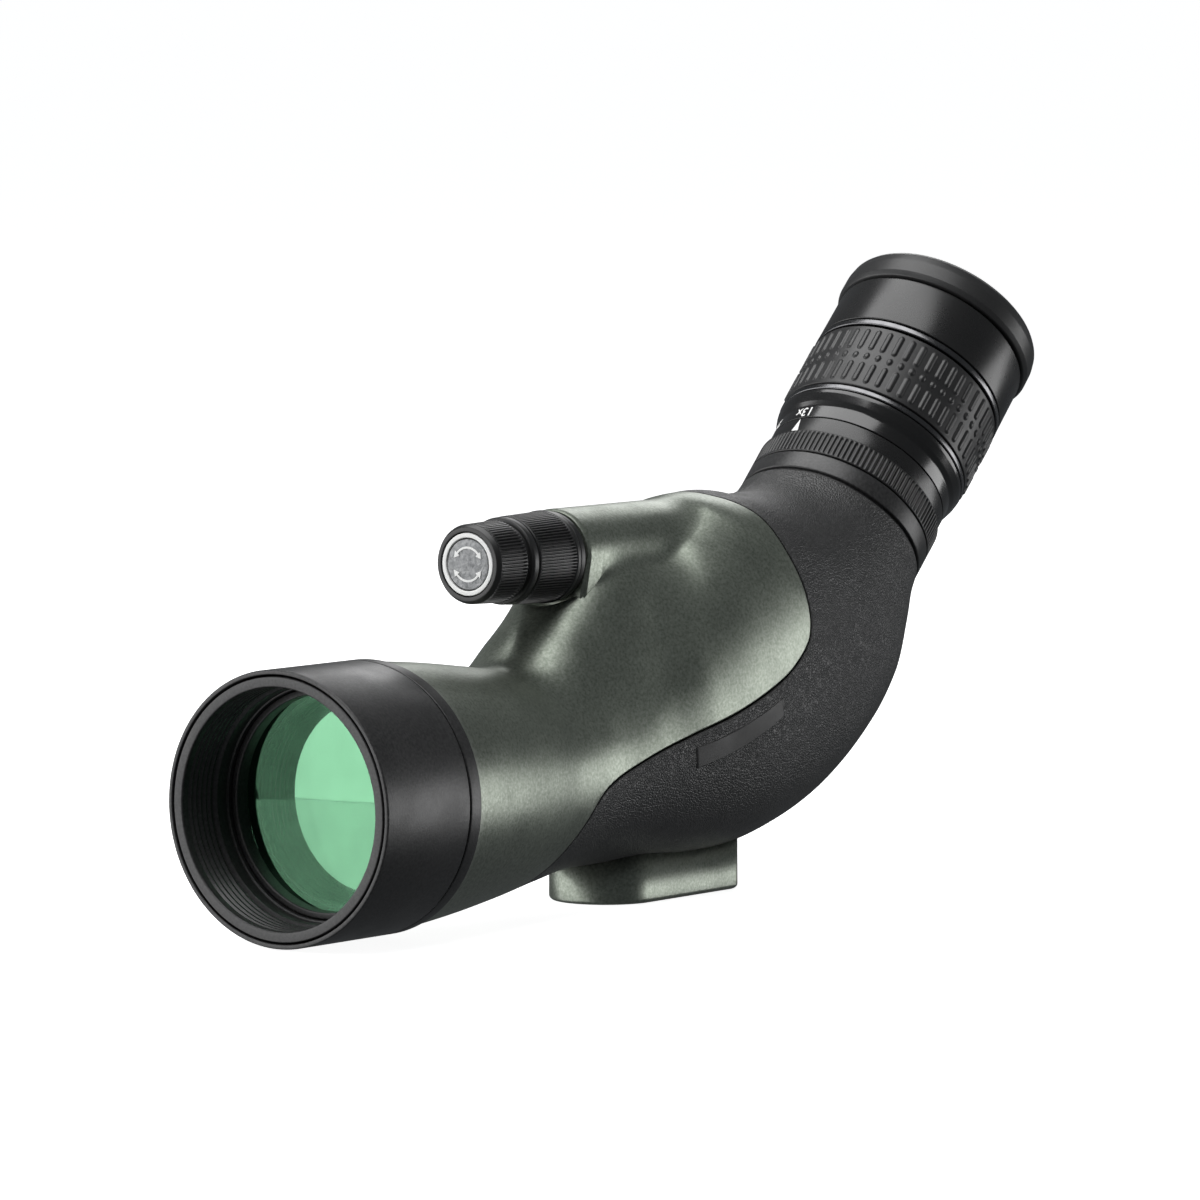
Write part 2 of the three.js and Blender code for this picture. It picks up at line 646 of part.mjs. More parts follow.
// Part of a ring between two angles, extruded along the local Y axis.
function ringSector(inner, outer, fromDegrees, toDegrees, from, to) {
  const a = degToRad(fromDegrees);
  const b = degToRad(toDegrees);
  const shape = new THREE.Shape();
  shape.absarc(0, 0, outer, a, b, false);
  shape.absarc(0, 0, inner, b, a, true);
  const geometry = new THREE.ExtrudeGeometry(shape, {
    depth: to - from, bevelEnabled: false, curveSegments: 10,
  });
  return geometry.rotateX(-Math.PI / 2).translate(0, from, 0);
}

function addEyepieceBarrel() {
  put(eyepiece, 'eyepiece_collar', turned([
    [BARREL_IN, -8], [20.1, -8], [20.1, 0.6], [NECK_R, 0.6], [NECK_R, CLAMP_FROM - CLEAR],
    [BARREL_IN, CLAMP_FROM - CLEAR],
  ]), look.black);
  const ringBore = SHOULDER_R + CLEAR;
  put(eyepiece, 'clamp_ring', sleeve(ringBore, NECK_R, CLAMP_FROM, INDEX_FROM - CLEAR), look.knob);
  put(eyepiece, 'index_ring', sleeve(ringBore, 23.7, INDEX_FROM, ZOOM_FROM - CLEAR), look.black);

  // Fixed barrel: a shoulder under the clamp ring, then a plain tube with an arc slot for the pin.
  const barrel = solid(turned([
    [BARREL_IN, CLAMP_FROM], [SHOULDER_R, CLAMP_FROM], [SHOULDER_R, ZOOM_FROM - CLEAR],
    [BARREL_OUT, ZOOM_FROM - CLEAR], [BARREL_OUT, 61.8], [BARREL_IN, 61.8],
  ]));
  const slot = solid(ringSector(BARREL_IN - 1, BARREL_OUT + 1, -5, ZOOM_TURN + 5, PIN_T - 1.3, PIN_T + 1.3));
  put(eyepiece, 'eyepiece_barrel', geometryOf(barrel.subtract(slot)), look.black);

  put(eyepiece, 'ocular_sleeve', turned([
    [BARREL_OUT + CLEAR, SLEEVE_FROM], [25.4, SLEEVE_FROM], [25.2, LIP_FROM - CLEAR],
    [24.1, LIP_FROM - CLEAR], [24.1, SLEEVE_FROM + 1.8], [BARREL_OUT + CLEAR, SLEEVE_FROM + 1.8],
  ]), look.black);
  put(eyepiece, 'field_stop', sleeve(9, 17.6, 7, 8.2), look.black);
  put(eyepiece, 'eye_lens_cell', turned([
    [15.2, 50.2], [17.6, 50.2], [17.6, 62.1], [18.9, 62.1], [18.9, 63.4], [15.6, 63.4], [13.6, 62.2],
    [13.6, 60.6], [15.2, 60.6],
  ]), look.black);
  put(eyepiece, 'eye_lens', lens(14.9, 52.5, 35, 60, -120), look.glass);
}

function addZoom() {
  const bore = BARREL_OUT + CLEAR;
  put(eyepiece, 'zoom_ring', turned([
    [bore, ZOOM_FROM], [23.7, ZOOM_FROM], [23.7, 22.4], [25.1, 26.2], [24.2, 26.2], [24.2, 28.1],
    [22.6, 28.1], [22.6, 47.7], [bore, 47.7],
  ]), look.black);
  put(eyepiece, 'bright_trim', sleeve(24.5, 25.3, 26.5, 28), look.chrome);
  put(eyepiece, 'zoom_grip', turned([
    [22.9, GRIP_FROM], [25.7, GRIP_FROM], [25.5, 47.6], [22.9, 47.6],
  ]), look.rubber);
  put(eyepiece, 'grip_trim', sleeve(19.4, 25.5, 48.1, SLEEVE_FROM - CLEAR), look.chrome);
  put(eyepiece, 'cam_tube', sleeve(16.6, 17.5, 10, 48), look.brass);
  const pin = rod(1, 17.7, 19.1, 10).rotateZ(-Math.PI / 2).translate(0, PIN_T, 0);
  put(eyepiece, 'zoom_drive_pin', pin, look.steel);
  [['lower', 14], ['upper', 36]].forEach(([place, t]) => {
    put(eyepiece, `${place}_zoom_cell`, sleeve(12.2, 16.3, t, t + 8, 32), look.black);
    put(eyepiece, `${place}_zoom_lens`, lens(11.9, t + 1.5, 40, t + 6.5, -40), look.glass);
  });
}

function addEyecup() {
  put(eyepiece, 'eyecup_click_ring', sleeve(BARREL_OUT + 0.4, 22.3, 53.2, 56), look.brass);
  put(eyepiece, 'eyecup_tube', sleeve(22.6, 23.7, 52.6, 69.7), look.black);
  put(eyepiece, 'eyecup_rubber', turned([
    [24, LIP_FROM], [25.5, LIP_FROM], [26.2, 66.2], [26.1, 69.8], [25.7, 71.8], [EYECUP_END_R, EYECUP_END],
    [22.4, 72.7], [18.8, 69.6], [19, 67.6], [22.2, 67.6], [22.2, 70], [24, 70],
  ]), look.rubber);
}

addObjective();
addBody();
addKnobs();
addCarriage();
addPrism();
addEyepieceBarrel();
addZoom();
addEyecup();

// The object stands on its foot, centred over the origin.
const REAR_END = EYE_BASE.y + (EYECUP_END + EYECUP_END_R) * Math.SQRT1_2;
optical.position.set(0, -REAR_END / 2, -FOOT_Z);

export default scope;
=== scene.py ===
"""Looks of an angled 50 mm spotting scope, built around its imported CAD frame.

Pieces are drawn in millimetres in three local frames: OPTICAL has the objective's axis along +Y with
the hood's front rim at Y = 0, KNOB is the same frame raised to the focus knob's axis, and EYEPIECE has
the eyepiece's axis along its own +Y. piece() turns them into metres in the frame of the model.
"""

import json
import math

import bmesh
import bpy
import numpy as np
from mathutils import Matrix, Vector


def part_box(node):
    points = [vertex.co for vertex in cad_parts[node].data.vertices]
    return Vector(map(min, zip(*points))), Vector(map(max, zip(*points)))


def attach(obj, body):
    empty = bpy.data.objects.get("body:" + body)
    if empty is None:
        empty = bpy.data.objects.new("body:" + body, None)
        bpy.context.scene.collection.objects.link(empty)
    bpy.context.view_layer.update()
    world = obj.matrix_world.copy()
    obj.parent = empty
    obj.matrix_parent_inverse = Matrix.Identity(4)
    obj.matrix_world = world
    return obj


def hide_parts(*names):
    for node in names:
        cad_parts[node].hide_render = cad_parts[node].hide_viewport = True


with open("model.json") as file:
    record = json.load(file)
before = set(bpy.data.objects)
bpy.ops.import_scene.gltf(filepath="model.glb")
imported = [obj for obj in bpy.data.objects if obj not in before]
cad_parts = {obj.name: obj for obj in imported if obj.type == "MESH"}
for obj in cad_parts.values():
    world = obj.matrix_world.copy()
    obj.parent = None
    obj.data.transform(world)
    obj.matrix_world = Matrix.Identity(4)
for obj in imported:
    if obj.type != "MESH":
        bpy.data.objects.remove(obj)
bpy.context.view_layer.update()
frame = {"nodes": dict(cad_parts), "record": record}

# ------------------------------------------------------------------ driving dimensions (mm, degrees)

HOOD_R = 32.0
HOOD_LENGTH = 30.7
BODY_START = 35.3
BEND_START = 120.0
BEND_RADIUS = 120.7
BEND = math.pi / 4
NECK_S = 235.5
NECK_R = 24.6
ARMOUR = 1.6
WALL = 2.2
SPLIT_S = 206.0
KNOB_Z = 51.6
RIDGE_R = 11.2
RIDGE_FRONT = 104.2
RIDGE_BACK = 168.0
PYLON_FOOT = (103.0, 24.0)      # the flare that carries the knob ridge
PYLON_HEAD = (118.0, 40.0)
PYLON_R = 14.0
PYLON_BLEND = 14.0
RIDGE_FILLET = 2.4
RIDGE_BROW = 1.5
RECESS_R = 11.6                 # round clearance behind the coarse knob
RECESS_EDGE = 1.5
FOOT_Z = -32.5
FOOT_HALF_WIDTH = 13.6
FOOT_FRONT = 126.5
FOOT_REAR = 164.0
SOCKET_Y = 145.0
SOCKET_R = 5.3
FOOT_SCREWS = (121.0, 157.0)
SCREW_HOLE_R = 1.8
SCREW_HEAD_HOLE_R = 3.3
SHAFT_HOLE_R = 6.5
GAP = 0.4                       # open joint between the green housing and the armour
EYE_BASE = (0.0, 220.0, 50.0)
DIAL_R = 23.72                  # printed rings of the eyepiece
INDEX_ANGLE = 103.0
GRIP_RIBS = 51
FINE_RIBS = 72
COARSE_RIBS = 88
CLAMP_RIBS = 116
CAMERA_AZIMUTH = 36.24644
CAMERA_ELEVATION = 4.625106
CAMERA_PLACE = (1117.784, -1400.390, 192.752)

# Body sections along the spine: position, half width, height above, depth below, widest height.
SECTIONS = np.array([
    (35, 31.5, 31.5, 31.5, 0),
    (52, 30.0, 30.0, 30.0, 0),
    (70, 27.8, 27.8, 27.8, 0),
    (84, 26.0, 26.0, 25.6, 0),
    (100, 25.0, 29.0, 23.4, 1),
    (115, 26.5, 38.0, 23.0, 4),
    (135, 29.5, 47.0, 25.0, 8),
    (160, 31.5, 52.8, 29.5, 8),
    (180, 31.5, 53.8, 32.0, 6),
    (200, 30.0, 48.5, 32.5, 3),
    (215, 27.5, 37.5, 31.0, 0),
    (225, 25.6, 28.5, 29.0, 0),
    (231, 24.8, 25.4, 26.3, 0),
    (NECK_S, NECK_R, NECK_R, NECK_R, 0),
])

# Front edge of the armour: angle round the section (-90 belly, 90 top) and position on the spine.
SEAM = np.array([
    (-90, 71), (-50, 78), (-19, 86), (-4, 92), (8, 105), (19, 125), (23, 150),
    (25, 166), (30, 178), (40, 184), (55, 189.5), (71, 195.5), (90, 194),
])

low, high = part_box("hood_sleeve")
OPTICAL = Matrix.Translation((0, low[1], (low[2] + high[2]) / 2)) @ Matrix.Scale(0.001, 4)
EYEPIECE = OPTICAL @ Matrix.Translation(EYE_BASE) @ Matrix.Rotation(BEND, 4, "X")
KNOB = OPTICAL @ Matrix.Translation((0, 0, KNOB_Z))

# ------------------------------------------------------------------ materials


class Nodes:
    """A material's node tree with short calls for the nodes that the looks below share."""

    def __init__(self, name):
        self.material = bpy.data.materials.new(name)
        self.material.use_nodes = True
        self.tree = self.material.node_tree
        self.shader = self.tree.nodes["Principled BSDF"]
        self.place = self.add("ShaderNodeTexCoord").outputs["Object"]

    def add(self, kind, **settings):
        node = self.tree.nodes.new(kind)
        for key, value in settings.items():
            setattr(node, key, value)
        return node

    def link(self, source, target):
        self.tree.links.new(source, target)

    def noise(self, size_mm, detail=3.0, roughness=0.5):
        node = self.add("ShaderNodeTexNoise")
        node.inputs["Scale"].default_value = 1000 / size_mm
        node.inputs["Detail"].default_value = detail
        node.inputs["Roughness"].default_value = roughness
        self.link(self.place, node.inputs["Vector"])
        return node.outputs["Fac"]

    def cells(self, size_mm):
        node = self.add("ShaderNodeTexVoronoi", feature="DISTANCE_TO_EDGE")
        node.inputs["Scale"].default_value = 1000 / size_mm
        self.link(self.place, node.inputs["Vector"])
        return node.outputs["Distance"]

    def span(self, value, from_low, from_high, to_low, to_high):
        node = self.add("ShaderNodeMapRange")
        node.inputs["From Min"].default_value = from_low
        node.inputs["From Max"].default_value = from_high
        node.inputs["To Min"].default_value = to_low
        node.inputs["To Max"].default_value = to_high
        self.link(value, node.inputs["Value"])
        return node.outputs["Result"]

    def blend(self, amount, first, second):
        node = self.add("ShaderNodeMix", data_type="RGBA")
        self.link(amount, node.inputs["Factor"])
        for socket, colour in ((node.inputs[6], first), (node.inputs[7], second)):
            if isinstance(colour, tuple):
                socket.default_value = (*colour, 1)
            else:
                self.link(colour, socket)
        return node.outputs[2]

    def bump(self, height, depth_mm):
        node = self.add("ShaderNodeBump")
        node.inputs["Strength"].default_value = 1.0
        node.inputs["Distance"].default_value = depth_mm / 1000
        self.link(height, node.inputs["Height"])
        self.link(node.outputs["Normal"], self.shader.inputs["Normal"])

    def edge_wear_and_highlight(self, colour, worn_and_lit_edge, reach=0.08):
        """Brings the convex edges of a colour to a second one, in broken patches: rubbed wear on most
        finishes, and a painted highlight on the zoom grip's rib tops.
        """
        point = self.add("ShaderNodeNewGeometry").outputs["Pointiness"]
        edge = self.span(point, 0.5 + reach * 0.5, 0.5 + reach, 0, 0.5)
        wear_and_highlight_patch = self.add("ShaderNodeMath", operation="MULTIPLY")
        self.link(edge, wear_and_highlight_patch.inputs[0])
        self.link(self.span(self.noise(3.0, 4), 0.4, 0.65, 0, 1), wear_and_highlight_patch.inputs[1])
        return self.blend(wear_and_highlight_patch.outputs[0], colour, worn_and_lit_edge)


def coated(name, colour, second, roughness, metallic=0.0, grain=0.3, depth=0.01, worn_and_lit_edge=None,
           leather=False, coat=0.0, smudge=0.06):
    """Paint, rubber or plastic: two close tones, a fine grain and slightly uneven gloss."""
    n = Nodes(name)
    shade = n.blend(n.span(n.noise(grain * 1.3, 4, 0.65), 0.35, 0.68, 0, 1), colour, second)
    # Convex edges go to a second tone: worn paint on most finishes, a painted highlight on the rib tops of
    # the zoom grip.
    if worn_and_lit_edge:
        shade = n.edge_wear_and_highlight(shade, worn_and_lit_edge)
    n.link(shade, n.shader.inputs["Base Color"])
    gloss = n.span(n.noise(14.0, 5, 0.6), 0.3, 0.7, roughness - smudge, roughness + smudge)
    n.link(gloss, n.shader.inputs["Roughness"])
    n.shader.inputs["Metallic"].default_value = metallic
    n.shader.inputs["Coat Weight"].default_value = coat
    n.shader.inputs["Coat Roughness"].default_value = 0.12
    if leather:
        height = n.span(n.cells(grain), 0.0, 0.28, 0, 1)
    else:
        height = n.noise(grain, 4, 0.6)
    n.bump(height, depth)
    return n.material


def metal(name, colour, roughness, grain=0.2, depth=0.004):
    """Bare metal with fine tool marks and slightly uneven gloss."""
    n = Nodes(name)
    darker = tuple(0.8 * c for c in colour)
    shade = n.blend(n.span(n.noise(4.0, 5, 0.6), 0.35, 0.7, 0, 1), colour, darker)
    n.link(shade, n.shader.inputs["Base Color"])
    n.link(n.span(n.noise(2.0, 5, 0.6), 0.3, 0.7, roughness - 0.05, roughness + 0.05),
           n.shader.inputs["Roughness"])
    n.shader.inputs["Metallic"].default_value = 1.0
    n.bump(n.noise(grain, 3, 0.5), depth)
    return n.material


def lens_look(name, colour, clear):
    """Coated glass: a tinted mirror sheen over a see-through pane, with a trace of dust."""
    n = Nodes(name)
    n.link(n.blend(n.span(n.noise(9.0, 4), 0.3, 0.8, 0, 1), colour, tuple(0.85 * c for c in colour)),
           n.shader.inputs["Base Color"])
    n.link(n.span(n.noise(9.0, 3, 0.5), 0.3, 0.7, 0.03, 0.045), n.shader.inputs["Roughness"])
    n.shader.inputs["Metallic"].default_value = 1.0
    n.shader.inputs["Alpha"].default_value = clear
    return n.material


GREEN = coated("green_coat", (0.175, 0.197, 0.162), (0.31, 0.34, 0.292), 0.36, metallic=0.78,
               grain=0.55, depth=0.030, worn_and_lit_edge=(0.42, 0.44, 0.40))
ARMOUR_RUBBER = coated("armour_rubber", (0.034, 0.034, 0.034), (0.060, 0.060, 0.060), 0.42,
                       grain=0.70, depth=0.085, leather=True)
BLACK = coated("black_coat", (0.017, 0.017, 0.0172), (0.044, 0.044, 0.0445), 0.38, grain=0.55,
               depth=0.030, worn_and_lit_edge=(0.12, 0.12, 0.12))
LENS_BARREL = coated("barrel_coat", (0.013, 0.013, 0.0132), (0.018, 0.018, 0.0183), 0.27,
                     grain=0.35, depth=0.002, worn_and_lit_edge=(0.10, 0.10, 0.10), smudge=0.03)
GLOSS = coated("black_gloss", (0.010, 0.010, 0.0102), (0.014, 0.014, 0.0142), 0.22, grain=0.5,
               depth=0.002, worn_and_lit_edge=(0.09, 0.09, 0.095), coat=0.4, smudge=0.04)
KNOB_BLACK = coated("knob_black", (0.013, 0.013, 0.0132), (0.022, 0.022, 0.0224), 0.36, grain=0.25,
                    depth=0.006, worn_and_lit_edge=(0.08, 0.08, 0.085))
# The grip's lighter edge tone is a painted highlight on its rib tops, which leaves the grooves between them
# darker.
GRIP = coated("grip_rubber", (0.020, 0.020, 0.0204), (0.030, 0.030, 0.0305), 0.38, grain=0.22,
              depth=0.008, worn_and_lit_edge=(0.075, 0.075, 0.076))
DARK_TRIM = metal("dark_trim", (0.16, 0.16, 0.165), 0.26)
WHITE = coated("white_print", (0.88, 0.88, 0.87), (0.93, 0.93, 0.92), 0.5, grain=0.3, depth=0.003)
CAP_GREY = coated("cap_grey", (0.16, 0.165, 0.17), (0.34, 0.345, 0.35), 0.42, metallic=0.5,
                  grain=1.0, depth=0.40)
PLATE_DARK = coated("plate_dark", (0.012, 0.012, 0.012), (0.018, 0.018, 0.018), 0.50, grain=0.3,
                    depth=0.004)
TRIM = metal("bright_trim", (0.72, 0.73, 0.75), 0.24)
BRASS = metal("brass", (0.72, 0.52, 0.22), 0.30)
STEEL = metal("steel", (0.56, 0.57, 0.59), 0.28)
ALLOY = metal("inner_alloy", (0.10, 0.105, 0.11), 0.42)
OBJECTIVE_GLASS = lens_look("coated_glass", (0.22, 0.50, 0.30), 0.48)
EYE_GLASS = lens_look("eye_glass", (0.45, 0.42, 0.75), 0.30)
PRISM_GLASS = lens_look("prism_glass", (0.55, 0.75, 0.80), 0.35)

SLOT_LOOKS = {
    "green_coat": GREEN, "armour_rubber": ARMOUR_RUBBER, "black_coat": BLACK,
    "knob_black": KNOB_BLACK, "grip_rubber": GRIP, "white_print": WHITE, "cap_grey": CAP_GREY,
    "bright_trim": TRIM, "coated_glass": OBJECTIVE_GLASS, "prism_glass": PRISM_GLASS,
    "brass": BRASS, "steel": STEEL, "inner_alloy": ALLOY,
}

# ------------------------------------------------------------------ mesh helpers


def smoothstep(low_edge, high_edge, x):
    t = np.clip((x - low_edge) / (high_edge - low_edge), 0, 1)
    return t * t * (3 - 2 * t)


def piece(name, points, faces, place, look, body, nodes=(), slot=None, crease=38):
    """A closed mesh that rides on a CAD body and stands for the CAD nodes named."""
    mesh = bpy.data.meshes.new(name)
    mesh.from_pydata(np.asarray(points, float).tolist(), [], [list(map(int, f)) for f in faces])
    mesh.transform(place)
    work = bmesh.new()
    work.from_mesh(mesh)
    bmesh.ops.remove_doubles(work, verts=work.verts, dist=3e-6)
    bmesh.ops.dissolve_degenerate(work, edges=work.edges, dist=1e-6)
    bmesh.ops.recalc_face_normals(work, faces=work.faces)
    work.to_mesh(mesh)
    work.free()
    mesh.shade_smooth()
    mesh.set_sharp_from_angle(angle=math.radians(crease))
    obj = bpy.data.objects.new(name, mesh)
    bpy.context.scene.collection.objects.link(obj)
    mesh.materials.append(look)
    if body:
        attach(obj, body)
    if nodes:
        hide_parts(*nodes)
    return obj


def loop_faces(rows, columns, closed_rows=True):
    """Quads of a grid whose columns run round, and whose last row meets the first if it is closed."""
    i = np.arange(rows if closed_rows else rows - 1)[:, None]
    j = np.arange(columns)[None, :]
    here, after = i * columns, ((i + 1) % rows) * columns
    side = (j + 1) % columns
    quads = np.stack([here + j, here + side, after + side, after + j], -1)
    return quads.reshape(-1, 4)


def rounded(profile, radius=0.25, steps=4):
    """A closed outline with its corners rounded. A corner's third number is its own radius."""
    points = []
    for i, corner in enumerate(profile):
        here = Vector(corner[:2])
        before = Vector(profile[i - 1][:2]) - here
        after = Vector(profile[(i + 1) % len(profile)][:2]) - here
        size = corner[2] if len(corner) > 2 else radius
        if size == 0 or here.x == 0:
            points.append(here)
            continue
        half = before.angle(after) / 2
        reach = min(size / math.tan(half), 0.48 * before.length, 0.48 * after.length)
        start, end = here + before.normalized() * reach, here + after.normalized() * reach
        for k in range(steps + 1):
            f = k / steps
            points.append(start * (1 - f) ** 2 + here * 2 * f * (1 - f) + end * f * f)
    return points


def split_up(outline, step, beyond):
    """Adds points so that no stretch of the outline outside the radius `beyond` is longer than step."""
    points = []
    for i, here in enumerate(outline):
        after = outline[(i + 1) % len(outline)]
        parts = 1
        if min(here.x, after.x) > beyond:
            parts = max(1, math.ceil((after - here).length / step))
        points += [here.lerp(after, k / parts) for k in range(parts)]
    return points


def turned(name, profile, place, look, body, nodes=(), slot=None, radius=0.25, segments=144,
           relief=None, step=0.5, beyond=0.0, crease=38):
    """A ring or disc turned about the local Y axis from [radius, along the axis] corners."""
    outline = rounded(profile, radius)
    if relief:
        outline = split_up(outline, step, beyond)
    r = np.array([p.x for p in outline])[:, None]
    t = np.array([p.y for p in outline])[:, None]
    phi = np.arange(segments)[None, :] * 2 * math.pi / segments
    grown = r + (np.where(r > beyond, relief(phi, t), 0) if relief else 0 * phi)
    points = np.stack([grown * np.cos(phi), t + 0 * phi, grown * np.sin(phi)], -1).reshape(-1, 3)
    return piece(name, points, loop_faces(len(outline), segments), place, look, body, nodes, slot,
                 crease)


def ribs(count, first, last, depth, fade=0.6, flat=0.5):
    """Relief of straight ribs round a ring: the grooves between them are cut to a depth."""
    def relief(phi, t):
        groove = smoothstep(flat, 1.0, 0.5 - 0.5 * np.cos(count * phi))
        along = smoothstep(first, first + fade, t) * (1 - smoothstep(last - fade, last, t))
        return -depth * groove * along
    return relief


def cut(obj, cutter):
    """Subtracts one closed piece from another for good, and removes the cutter."""
    modifier = obj.modifiers.new("cut", "BOOLEAN")
    modifier.operation = "DIFFERENCE"
    modifier.solver = "MANIFOLD"
    modifier.object = cutter
    graph = bpy.context.evaluated_depsgraph_get()
    result = bpy.data.meshes.new_from_object(obj.evaluated_get(graph))
    obj.modifiers.clear()
    before = obj.data
    obj.data = result
    bpy.data.meshes.remove(before)
    bpy.data.objects.remove(cutter)
    return obj


def upright(y):
    """A frame under the body whose turning axis runs along Z."""
    return OPTICAL @ Matrix.Translation((0, y, 0)) @ Matrix.Rotation(math.pi / 2, 4, "X")


def upright_rod(radius, y, z_from, z_to):
    """A cutter along Z under the body."""
    profile = [(0, z_from), (radius, z_from), (radius, z_to), (0, z_to)]
    return turned("cutter", profile, upright(y), STEEL, None, radius=0, segments=48)


# ------------------------------------------------------------------ the body's surface


def monotone(table, column):
    """Monotone cubic through a table's rows, so that it never overshoots between two of them."""
    x, y = table[:, 0], table[:, column]
    slope = np.diff(y) / np.diff(x)
    product = slope[:-1] * slope[1:]
    total = slope[:-1] + slope[1:]
    inner = np.where(product > 0, 2 * product / np.where(product > 0, total, 1), 0)
    tangent = np.concatenate([slope[:1], inner, slope[-1:]])

    def at(value):
        value = np.clip(value, x[0], x[-1])
        i = np.clip(np.searchsorted(x, value, side="left") - 1, 0, len(x) - 2)
        span = x[i + 1] - x[i]
        t = (value - x[i]) / span
        level = y[i] * (1 + 2 * t) * (1 - t) ** 2 + y[i + 1] * t * t * (3 - 2 * t)
        return level + span * (tangent[i] * t * (1 - t) ** 2 - tangent[i + 1] * t * t * (1 - t))
    return at


half_width, height_above, depth_below, widest_at = (monotone(SECTIONS, c) for c in range(1, 5))
seam_base = monotone(SEAM, 1)


def smooth_min(a, b, k):
    h = np.clip(0.5 + 0.5 * (b - a) / k, 0, 1)
    return b * (1 - h) + a * h - k * h * (1 - h)


def spine(s):
    tilt = np.clip((s - BEND_START) / BEND_RADIUS, 0, BEND)
    past = np.maximum(0, s - BEND_START - BEND_RADIUS * BEND)
    y = np.minimum(s, BEND_START) + BEND_RADIUS * np.sin(tilt) + past * math.cos(BEND)
    z = BEND_RADIUS * (1 - np.cos(tilt)) + past * math.sin(BEND)
    return tilt, y, z


def body_distance(s, x, h):
    """Approximate distance from the body's surface, negative inside, x across and h up a section."""
    tilt, spine_y, spine_z = spine(s)
    w, below, widest = half_width(s), depth_below(s), widest_at(s)
    up = np.where(h > widest, (h - widest) / (height_above(s) - widest),
                  (widest - h) / (below + widest))
    n = 2 + 0.35 * np.clip((s - 100) / 40, 0, 1) * np.clip((232 - s) / 20, 0, 1)
    skin = ((np.abs(x / w) ** n + np.abs(up) ** n) ** (1 / n) - 1) * np.minimum(w, below)
    y = spine_y - h * np.sin(tilt)
    z = spine_z + h * np.cos(tilt)
    dy, dz = PYLON_HEAD[0] - PYLON_FOOT[0], PYLON_HEAD[1] - PYLON_FOOT[1]
    t = np.clip(((y - PYLON_FOOT[0]) * dy + (z - PYLON_FOOT[1]) * dz) / (dy * dy + dz * dz), 0, 1)
    across = np.hypot(y - PYLON_FOOT[0] - t * dy, z - PYLON_FOOT[1] - t * dz)
    pylon = np.hypot(x, across) - PYLON_R
    axis = np.hypot(x, z - KNOB_Z)
    side = np.hypot(axis, np.maximum(0, y - RIDGE_BACK)) - RIDGE_R
    ahead = RIDGE_FRONT - y
    corner = np.hypot(np.maximum(side + RIDGE_BROW, 0), np.maximum(ahead + RIDGE_BROW, 0))
    square = np.maximum(side, ahead)
    ridge = np.where(square > -RIDGE_BROW, corner - RIDGE_BROW, square)
    fillet = 0.2 + RIDGE_FILLET * smoothstep(RIDGE_FRONT, RIDGE_FRONT + 10, y)
    joined = smooth_min(smooth_min(skin, pylon, PYLON_BLEND), ridge, fillet)
    return -smooth_min(-joined, -np.minimum(RECESS_R - axis, ahead), RECESS_EDGE)


def body_radius(s, angle, inset):
    """Distance from the spine to the surface drawn in by `inset`, marched in from outside."""
    u, v = np.cos(angle), np.sin(angle)
    outside = np.full(np.broadcast(s, angle, inset).shape, 80.0)
    open_air = np.ones(outside.shape, bool)
    while open_air.any():
        open_air &= body_distance(s, outside * u, outside * v) + inset > 0
        outside = np.where(open_air, outside - 1.0, outside)
    inside, outside = outside, outside + 1.0
    for _ in range(13):
        middle = (inside + outside) / 2
        out = body_distance(s, middle * u, middle * v) + inset > 0
        outside = np.where(out, middle, outside)
        inside = np.where(out, inside, middle)
    return inside


def body_points(s, degrees, inset=0.0):
    angle = np.radians(degrees)
    r = body_radius(s, angle, inset)
    tilt, y, z = spine(s)
    up = r * np.sin(angle)
    return np.stack([r * np.cos(angle), y - up * np.sin(tilt), z + up * np.cos(tilt)], -1)


def seam_offset(angles, distance):
    """The armour's edge moved over the surface by a distance, towards the rubber's side."""
    theta = np.linspace(-90, 90, 721)
    s = seam_base(theta)
    reach = np.radians(1) * body_radius(s, np.radians(theta), 0.0)
    along_theta = np.gradient(theta) * reach
    along_s = np.gradient(s)
    length = np.hypot(along_theta, along_s)
    new_theta = theta - distance * along_s / length / reach
    new_s = s + distance * along_theta / length
    order = np.argsort(new_theta)
    folded = np.where(angles > 90, 180 - angles, angles)
    return np.interp(folded, new_theta[order], new_s[order])


def body_columns():
    """Angles round the body, closer together along the armour's edge and over the knob ridge."""
    side = np.concatenate([
        np.arange(-90, 4, 2.5), np.arange(4, 36, 0.5), np.arange(36, 64, 1.5),
        np.arange(64, 90, 0.6), [90],
    ])
    return np.concatenate([side, 180 - side[1:-1][::-1]])


OUTER_ROWS = np.concatenate([
    np.arange(BODY_START, 94, 2.5), np.arange(95, 104.1, 0.8),
    [RIDGE_FRONT - 0.05, RIDGE_FRONT + 0.05], np.arange(104.9, 121, 0.8),
    np.arange(122, NECK_S - 1, 1.5), [NECK_S - 0.6],
])
INNER_FACE = RIDGE_FRONT + WALL


def inner_rows(last):
    behind = np.arange(INNER_FACE + 2, last - 1, 5.0)
    return np.concatenate([np.arange(BODY_START, INNER_FACE - 1, 5.0),
                           [INNER_FACE - 0.05, INNER_FACE + 0.05], behind, [last]])


def shell(name, rows, columns, **facts):
    """A closed shell from rows of (s, inset), each a number or one value for every column."""
    s = np.stack([np.broadcast_to(row[0], columns.shape) for row in rows])
    inset = np.stack([np.broadcast_to(row[1], columns.shape) for row in rows])
    points = body_points(s, np.broadcast_to(columns, s.shape), inset).reshape(-1, 3)
    return piece(name, points, loop_faces(len(rows), len(columns)), OPTICAL, **facts)


